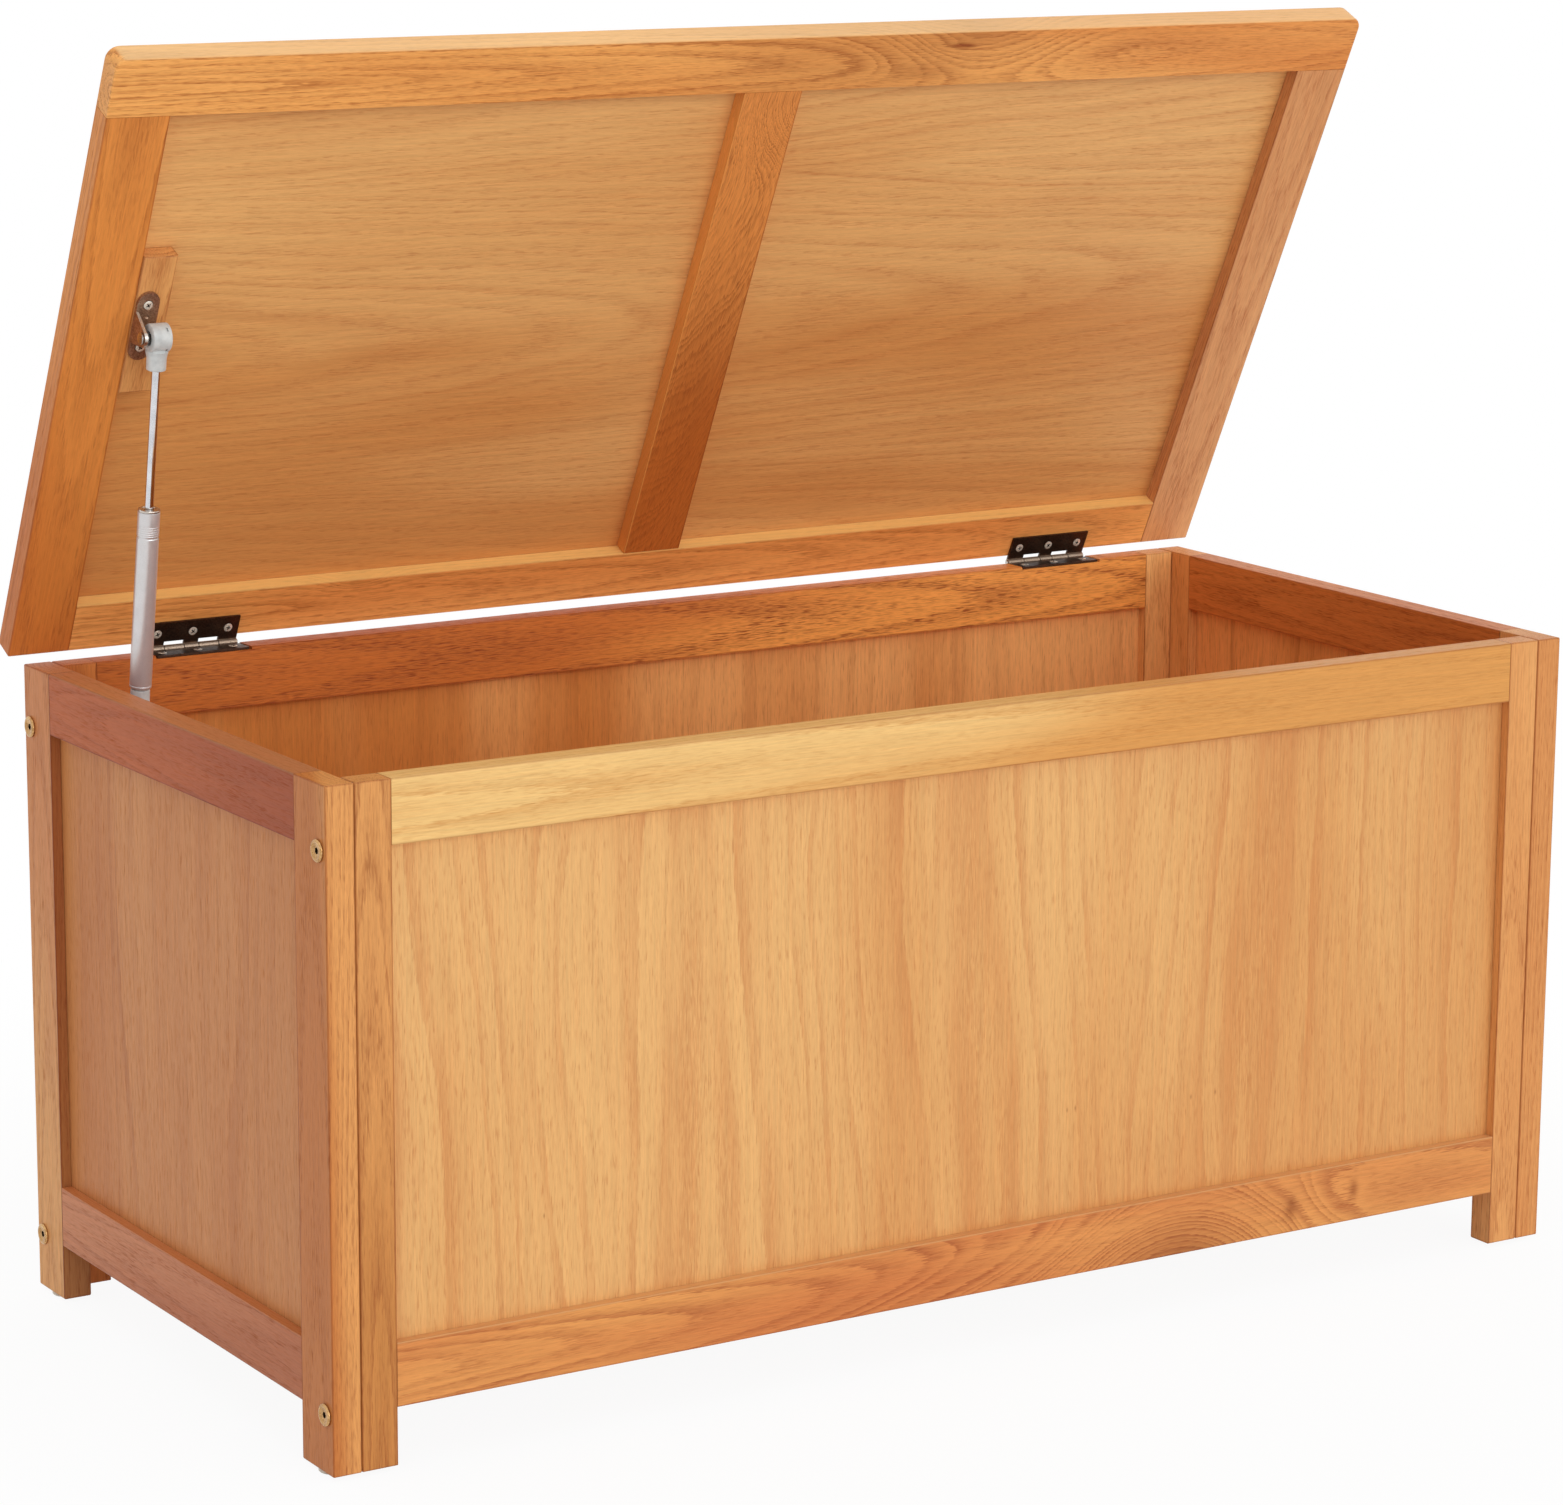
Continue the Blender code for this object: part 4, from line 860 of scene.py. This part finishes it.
# %% The strut's tube
plate_low, plate_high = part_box("strut_box_bracket")
lower_ball = Vector((upper_ball.x, (plate_low.y + plate_high.y) / 2, (plate_low.z + plate_high.z) / 2))
foot_space = shift(lower_ball) @ turned(strut_lean, "X")
tube_low, tube_high = extent("strut_tube", foot_space)
cap_low, cap_high = extent("strut_guide", foot_space)
tube_radius = tube_high.x
STUB_RADIUS = 0.003
NECK_END = 0.0223
END_ROUND = 0.0018
WALL = 0.001
ROLL = (0.0009, 0.0005)
RING = (0.0003, 0.00018)
ROLL_BELOW_TOP = 0.0195
RINGS_BELOW_TOP = (0.0176, 0.0161, 0.0146, 0.0131, 0.0116)


def groove(height, half_width, depth):
    """A soft groove round the tube, as points of its profile."""
    steps = ((0, -1), (0.7, -0.5), (1, 0), (0.7, 0.5), (0, 1))
    return [(tube_radius - depth * down, height + half_width * along) for down, along in steps]


bore = tube_radius - WALL
profile = [
    (0, tube_low.z), (STUB_RADIUS, tube_low.z), (STUB_RADIUS, NECK_END),
    (tube_radius - END_ROUND - 0.0001, NECK_END),
    *arc(END_ROUND, (tube_radius - END_ROUND, NECK_END + END_ROUND), range(165, 89, -15)),
    (tube_radius, NECK_END + 0.0024), (tube_radius - 0.00022, NECK_END + 0.0027),
    (tube_radius, NECK_END + 0.0030),
    *groove(cap_high.z - ROLL_BELOW_TOP, *ROLL),
]
for below in RINGS_BELOW_TOP:
    profile += groove(cap_high.z - below, *RING)
profile += [
    (tube_radius, tube_high.z - 0.0003), (tube_radius - 0.0003, tube_high.z),
    (bore, tube_high.z), (bore, NECK_END + 0.004), (0, NECK_END + 0.002),
]
place_shape(
    "gas_strut_tube", lathe(profile), [tube_silver], foot_space, "strut_lower", "tube_steel", "strut_tube",
    sharp=50,
)
print("tube radius", round(tube_radius, 4))

# %% The strut's cap and rod
HOLE = 0.0033
cap_profile = [
    (HOLE, cap_low.z), (bore - 0.0003, cap_low.z), (bore - 0.0003, tube_high.z + 0.0002),
    (tube_radius - 0.0002, tube_high.z + 0.0002), (tube_radius, tube_high.z + 0.0005),
    (tube_radius, cap_high.z - 0.0007), (tube_radius - 0.0002, cap_high.z - 0.0002),
    (tube_radius - 0.0007, cap_high.z), (0.0050, cap_high.z), (0.0047, cap_high.z - 0.0005),
    (HOLE + 0.0002, cap_high.z - 0.0005), (HOLE, cap_high.z - 0.0007), (HOLE, cap_low.z),
]
place_shape(
    "gas_strut_cap", lathe(cap_profile), [bright_edge], foot_space, "strut_lower", "tube_steel",
    "strut_guide",
)
rod_low, rod_high = extent("strut_rod", strut_space)
rod_radius = rod_high.x
rod_profile = [
    (0, rod_low.z), (rod_radius - 0.0005, rod_low.z), (rod_radius, rod_low.z + 0.0005),
    (rod_radius, rod_high.z - 0.0003), (rod_radius - 0.0003, rod_high.z), (0, rod_high.z),
]
place_shape(
    "gas_strut_rod", lathe(rod_profile), [chrome], strut_space, "strut_upper", "rod_chrome", "strut_rod"
)
nodes["strut_piston"].material_slots[0].material = turned_nickel
print("strut length", round((upper_ball - lower_ball).length, 4))

# %% [markdown]
# The sockets are moulded plastic. A drum lies across the strut, open at the end where
# the ball stud snaps in, and its neck takes the rod's thread. Two short slots near its
# outer end would take a safety clip. They are cut at 47 degrees each side of the front.
# Drum and neck are two turned shapes joined by a boolean step, which keeps both exactly
# round, where one mesh pulled out of the other would not.

# %% The strut's sockets
drum_low, drum_high = extent("strut_upper_socket", strut_space)
drum_half = (drum_high.x - drum_low.x) / 2
drum_radius = drum_high.z
neck_low = drum_low.z
NECK_RADIUS = 0.0066
BALL_MOUTH = 0.0046
BALL_RADIUS = 0.0053
RIM_ROUND = 0.0006
CLIP_SLOT = (0.0006, 0.0015)
CLIP_ANGLES = (-47, 47)
CLIP_FROM_END = 0.0031
lying = turned(90, "Y")


def socket_shape():
    """The drum with its mouth at -X, its slots, and its neck towards -Z."""
    drum = lathe([
        (0, drum_half - 0.0003), (drum_radius - 0.0020, drum_half - 0.0003),
        (drum_radius - 0.0016, drum_half),
        *arc(RIM_ROUND, (drum_radius - RIM_ROUND, drum_half - RIM_ROUND), range(0, 91, 18)),
        (drum_radius, -drum_half + 0.0012), (drum_radius - 0.0003, -drum_half + 0.0004),
        (drum_radius - 0.0011, -drum_half), (BALL_MOUTH + 0.0005, -drum_half),
        (BALL_MOUTH, -drum_half + 0.0005), (BALL_MOUTH, -0.0026),
        (BALL_RADIUS, 0.0), (0.0038, 0.0038), (0, BALL_RADIUS),
    ], steps=72)
    neck = lathe([
        (0, neck_low), (0.0034, neck_low), (NECK_RADIUS - 0.0009, neck_low),
        (NECK_RADIUS - 0.0003, neck_low + 0.0003), (NECK_RADIUS, neck_low + 0.0010),
        (NECK_RADIUS + 0.0001, neck_low + 0.0085), (NECK_RADIUS + 0.0010, neck_low + 0.0130),
        (NECK_RADIUS - 0.0012, neck_low + 0.0165), (0, neck_low + 0.0165),
    ])
    shape = carved(moved(drum, lying), [neck], "UNION")
    at_end = shift((drum_half - CLIP_FROM_END, 0, 0))
    at_skin = shift((0, 0, drum_radius))
    fronts = [turned(90 + angle, "X") for angle in CLIP_ANGLES]
    slots = [moved(brick(CLIP_SLOT, -0.0013, 0.0013), at_end @ front @ at_skin) for front in fronts]
    hollow = lathe([(0, -0.0135), (BALL_MOUTH, -0.0135), (BALL_MOUTH, -0.002), (0, -0.002)], steps=40)
    return carved(shape, [*slots, moved(hollow, lying)])


turned_over = turned(180, "X")
for half, space in (("upper", strut_space), ("lower", foot_space @ turned_over)):
    place_shape(
        f"ball_socket_{half}", socket_shape(), [grey_plastic], space, f"strut_{half}",
        "socket_plastic", f"strut_{half}_socket",
    )
print("socket drum", round(2 * drum_radius, 4), "across and", round(2 * drum_half, 4), "long")

# %% The ball studs
for half, ball, body in (("upper", upper_ball, "lid"), ("lower", lower_ball, "strut_lower")):
    stud = f"strut_{half}_stud"
    space = shift(ball) @ lying
    shape = solid_of(stud, space)
    place_shape(f"ball_{half}_stud", shape, [turned_nickel], space, body, "pin_nickel", stud)

# %% [markdown]
# ## Screws
#
# All the screws are countersunk with a cross recess. The head is a shallow dome over a
# cone, the recess is two tapered slots, and the leaf round it is cut to a slightly
# wider cone, so a thin dark ring shows round each head. They are all alike, so one mesh
# serves them all. It is drawn with the rim of its head at height 0 and its point down,
# and each screw turns it by an angle of its own, as a hand-driven row has.

# %% One screw and its countersinks
SCREW_HEAD = 0.0032
SINK_TOP = 0.0037
SINK_FOOT = 0.0023
RECESS_HALF = 0.0019
RECESS_THIN = 0.00045
head = lathe([
    (0, -0.0060), (0.0012, -0.0052), (0.0015, -0.0019), (SCREW_HEAD - 0.0001, -0.0003),
    (SCREW_HEAD, -0.0001), (SCREW_HEAD - 0.0002, 0.00005), (SCREW_HEAD * 0.6, 0.00028),
    (SCREW_HEAD * 0.3, 0.00038), (0, 0.00042),
], steps=40)
cross_halves = ((RECESS_HALF, RECESS_THIN), (RECESS_THIN, RECESS_HALF))
cross = [brick(half_size, floor=-0.0015, ceiling=0.001, bottom=0.55) for half_size in cross_halves]
shape = carved(head, cross)
# The recess faces take the near-black finish: painted shade in the cross recess.
for face in shape.faces:
    middle = face.calc_center_median()
    if -0.004 < middle.z < 0.0 and abs(middle.x) < RECESS_HALF and abs(middle.y) < RECESS_HALF:
        face.material_index = 1
screw = finished("screw", shape, [screw_nickel, recess_shade])
print("a screw has", len(screw.polygons), "faces")


def sinks(spots, thickness, space):
    """The tools, drawn in a space, that cut a countersink at each spot."""
    profile = [
        (0, -thickness - 0.001), (SINK_FOOT, -thickness - 0.001), (SINK_FOOT, -thickness * 0.8),
        (SINK_TOP, 0.0), (SINK_TOP, 0.0008), (0, 0.0008),
    ]
    return [moved(lathe(profile, steps=40), space.inverted() @ spot) for spot in spots]


def drive(names, spots, body, first_turn, turn_step):
    """Places a row of screws whose Z comes out of the surface, each turned a little further."""
    for number, spot in enumerate(spots):
        turn = turned(first_turn + turn_step * number, "Z")
        place_mesh(f"{names}_{number + 1}", screw, spot @ turn, body)


# %% [markdown]
# ## Hinges
#
# A butt hinge is two leaves whose knuckles mesh round a pin. The leaves could be drawn
# anew, but they have to mesh as the lid turns, so they are copied from the solids, drilled
# for their screws and given a fine rounding. Rubbed metal shows on the barrel, which the
# finish finds by its distance from the pin.

# %% The hinges and their screws
HINGE_SCREWS = (-0.027, 0.0, 0.027)
SCREWS_FROM_PIN = 0.0124
LEAF_THICK = 0.0016
LEAVES = (
    ("box", "case", world_space, -0.0002, world_space),
    ("lid", "lid", turned(-lid_open, "X"), 0.0006, turned_over),
)
for tag, first_turn in (("left", 23), ("right", 15)):
    leaf_low, leaf_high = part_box(f"hinge_{tag}_box_leaf")
    pin_middle = Vector(((leaf_low.x + leaf_high.x) / 2, lid_pin.y, lid_pin.z))
    for part, body, turn, level, facing in LEAVES:
        space = shift(pin_middle) @ turn
        spots = [space @ shift((x, -SCREWS_FROM_PIN, level)) @ facing for x in HINGE_SCREWS]
        leaf = f"hinge_{tag}_{part}_leaf"
        shape = carved(solid_of(leaf, space), sinks(spots, LEAF_THICK, space))
        place_shape(
            f"butt_hinge_{tag}_{part}", shape, [bronze], space, body, "bronzed_steel", leaf, rounding=0.00015
        )
        drive(f"screw_{tag}_{part}_leaf", spots, body, first_turn, turn_step=27)
    nodes[f"hinge_{tag}_pin"].material_slots[0].material = turned_nickel

# %% [markdown]
# ## The strut's brackets
#
# The lid's bracket is a bronzed plate with an ear bent out of one edge. Its sawn edges are
# bare, and they catch the light. Two screws hold it to its block, and a small dimple sits
# between the upper one and the ear. The box's bracket is a flat plate with two screws.
# The bare edges could be a mask in the material. A second material on the ear's narrow
# faces is simpler, and it ends exactly at the corner.

# %% The lid's bracket and its screws
PLATE_THICK = 0.002
PLATE_SCREWS = (-0.0163, 0.0163)
PLATE_HALF = 0.008
PLATE_ROUNDING = 0.0002
DIMPLE = 0.0074
low, high = extent("strut_lid_bracket", lid_space)
plate_x = low.x + PLATE_HALF
plate_y = (low.y + high.y) / 2
plate_face = high.z - PLATE_THICK
spots = [lid_space @ shift((plate_x, plate_y + y, plate_face)) @ turned_over for y in PLATE_SCREWS]
dent = lathe([(0, -0.0007), (0.0010, -0.0005), (0.0016, 0.0003), (0, 0.0003)], steps=24)
dent_spot = shift((plate_x + 0.0005, plate_y - DIMPLE, plate_face)) @ turned_over
tools = [*sinks(spots, PLATE_THICK, lid_space), moved(dent, dent_spot)]
shape = carved(solid_of("strut_lid_bracket", lid_space), tools)
for face in shape.faces:
    on_ear = face.calc_center_median().z < plate_face - 0.0004
    if on_ear and abs(face.normal.x) < 0.5:
        face.material_index = 1
place_shape(
    "lid_bracket", shape, [bracket_bronze, bright_edge], lid_space, "lid", "bronzed_steel",
    "strut_lid_bracket", rounding=PLATE_ROUNDING,
)
drive("screw_lid_bracket", spots, "lid", first_turn=35, turn_step=20)

# %% The box's bracket and its screws
low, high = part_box("strut_box_bracket")
plate_middle = (low + high) / 2
spots = [shift((high.x, plate_middle.y + y, plate_middle.z)) @ lying for y in PLATE_SCREWS]
plate_space = shift(plate_middle)
shape = carved(solid_of("strut_box_bracket", plate_space), sinks(spots, PLATE_THICK, plate_space))
place_shape(
    "box_bracket", shape, [bracket_bronze], plate_space, "case", "bronzed_steel", "strut_box_bracket",
    rounding=PLATE_ROUNDING,
)
drive("screw_box_bracket", spots, "case", first_turn=50, turn_step=20)

# %% [markdown]
# ## Connector bolts and glides
#
# Each leg is bolted to its stile. The bolt's head is a flat disc with a softly turned rim
# and a hexagon socket in a shallow dish. The head is turned as one profile and the hexagon
# is cut out of it, as on the real one, so its floor and walls can take a near-black finish
# by their place alone: painted shade inside the socket. Under each leg sits a nailed
# plastic glide.

# %% The bolts
BOLT_SHANK = 0.0030
HEAD_HEIGHT = 0.0017
HEXAGON_RADIUS = 0.0023
HEXAGON_LENGTH = 0.0052
BOLT_TURN = math.degrees(0.4)


def bolt_shape(head_radius, reach):
    """A connector bolt about Z with the seat of its head at 0."""
    dish = HEAD_HEIGHT - 0.0010
    shape = lathe([
        (0, -reach), (0.0025, -reach), (BOLT_SHANK, -reach + 0.0005), (BOLT_SHANK, 0.0),
        (head_radius - 0.0002, 0.0), (head_radius, 0.0003), (head_radius, HEAD_HEIGHT * 0.45),
        (head_radius - 0.0003, HEAD_HEIGHT * 0.78), (head_radius - 0.0009, HEAD_HEIGHT * 0.95),
        (head_radius - 0.0016, HEAD_HEIGHT), (head_radius - 0.0024, HEAD_HEIGHT - 0.0001),
        (head_radius - 0.0030, HEAD_HEIGHT - 0.0007), (0.0034, HEAD_HEIGHT - 0.0008),
        (0.0030, dish), (0, dish),
    ], steps=56)
    hexagon = bmesh.new()
    bmesh.ops.create_cone(
        hexagon, cap_ends=True, segments=6, radius1=HEXAGON_RADIUS, radius2=HEXAGON_RADIUS,
        depth=HEXAGON_LENGTH, matrix=shift((0, 0, HEAD_HEIGHT)),
    )
    shape = carved(shape, [hexagon])
    # The socket's floor and walls take the near-black finish: painted shade inside the hexagon.
    for face in shape.faces:
        middle = face.calc_center_median()
        if -0.0008 < middle.z < dish - 0.0001 and middle.xy.length < HEXAGON_RADIUS + 0.0001:
            face.material_index = 1
    return shape


for number, name in enumerate(sorted(name for name in nodes if name.startswith("bolt_"))):
    low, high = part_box(name)
    hand = -1 if "left" in name else 1
    outer = low.x if hand < 0 else high.x
    seat = Vector((outer - hand * HEAD_HEIGHT, (low.y + high.y) / 2, (low.z + high.z) / 2))
    facing = turned(90 * hand, "Y") @ turned(BOLT_TURN * number, "Z")
    shape = bolt_shape((high.z - low.z) / 2, high.x - low.x - HEAD_HEIGHT)
    place_shape(
        f"connector_{name}", shape, [brass, socket_shade], shift(seat) @ facing, "case",
        "bolt_brass", name,
    )

# %% The glides
for name in sorted(name for name in nodes if name.startswith("glide_")):
    low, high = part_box(name)
    space = shift((low + high) / 2)
    place_shape(f"foot_{name}", solid_of(name, space), [glide_plastic], space, "case", "glide_plastic", name)

# %% [markdown]
# ## Camera
#
# The camera stands in front of the left corner, a little above the rim, and looks down
# a little. It could be moved by eye until the view fits. Its place and lens were worked
# out from the corners of the box instead, which leaves less to chance.

# %% The camera
CAMERA_PLACE = Vector((-1.7855, -2.8238, 1.0767))
CAMERA_YAW = 32.095
CAMERA_PITCH = -11.92
CAMERA_ROLL = 0.36
camera = bpy.data.objects.new("camera", bpy.data.cameras.new("camera"))
bpy.context.scene.collection.objects.link(camera)
camera_turn = turned(-CAMERA_YAW, "Z") @ turned(90 + CAMERA_PITCH, "X") @ turned(CAMERA_ROLL, "Z")
camera.matrix_world = shift(CAMERA_PLACE) @ camera_turn
camera.data.sensor_width = 36.0
camera.data.lens = 112.0
camera.data.clip_end = 100.0
bpy.context.scene.camera = camera

# %% [markdown]
# ## Floor and light
#
# A plain pale floor, an even sky, a soft lamp that shines from the front and a weak one
# from above. A picture of a real studio could light the box too, but two lamps and one
# grey say plainly what light there is. The floor fades to white away from the box, and
# the sky is white, for the camera and for reflections alone, so no extra light reaches
# the wood.

# %% The floor
FLOOR_HALF = 40.0
FLOOR_DROP = 0.0002
FLOOR_GREY = 0.90
WHITE = (1.0, 1.0, 1.0, 1.0)


def seen_rays(tree):
    """One for what the camera or a reflection sees, and zero for the light on things."""
    rays = add(tree, "ShaderNodeLightPath").outputs
    by_way = calc("MAXIMUM", rays["Is Glossy Ray"], rays["Is Transmission Ray"])
    return calc("MAXIMUM", rays["Is Camera Ray"], by_way)


floor_shape = bmesh.new()
bmesh.ops.create_grid(floor_shape, x_segments=1, y_segments=1, size=FLOOR_HALF)
floor = loose_object(floor_shape)
floor.name = "floor"
floor.location.z = -FLOOR_DROP
floor_finish, tree, _ = new_material("floor")
tree.nodes.clear()
spread = vector_calc("LENGTH", add(tree, "ShaderNodeTexCoord").outputs["Object"])
far = soft_range(spread, 0.45, 1.1, 0.93, 1.0)
matt = add(tree, "ShaderNodeBsdfDiffuse", {"Color": (FLOOR_GREY, FLOOR_GREY, FLOOR_GREY, 1.0)})
white = add(tree, "ShaderNodeEmission", {"Color": WHITE, "Strength": 1.0})
mix_inputs = {0: times(far, seen_rays(tree)), 1: matt.outputs[0], 2: white.outputs[0]}
mixed = add(tree, "ShaderNodeMixShader", mix_inputs).outputs[0]
add(tree, "ShaderNodeOutputMaterial", {"Surface": mixed})
floor.data.materials.append(floor_finish)

# %% The sky and the lamps
SKY_LEVEL = 0.71
world = bpy.data.worlds.new("studio")
bpy.context.scene.world = world
world.use_nodes = True
tree = world.node_tree
tree.nodes.clear()
strength = plus(SKY_LEVEL, times(seen_rays(tree), 1.0 - SKY_LEVEL))
sky = add(tree, "ShaderNodeBackground", {"Color": WHITE, "Strength": strength})
add(tree, "ShaderNodeOutputWorld", {"Surface": sky.outputs[0]})


def sun(name, toward, level, softness):
    """A soft lamp that shines along a direction."""
    lamp = bpy.data.objects.new(name, bpy.data.lights.new(name, "SUN"))
    lamp.data.energy = level
    lamp.data.angle = math.radians(softness)
    lamp.rotation_euler = Vector(toward).to_track_quat("-Z", "Y").to_euler()
    bpy.context.scene.collection.objects.link(lamp)


sun("key", (-0.10, 0.96, -0.16), level=1.24, softness=50)
sun("top", (0.0, 0.25, -1.0), level=0.25, softness=60)
bpy.context.scene.view_settings.view_transform = "Standard"
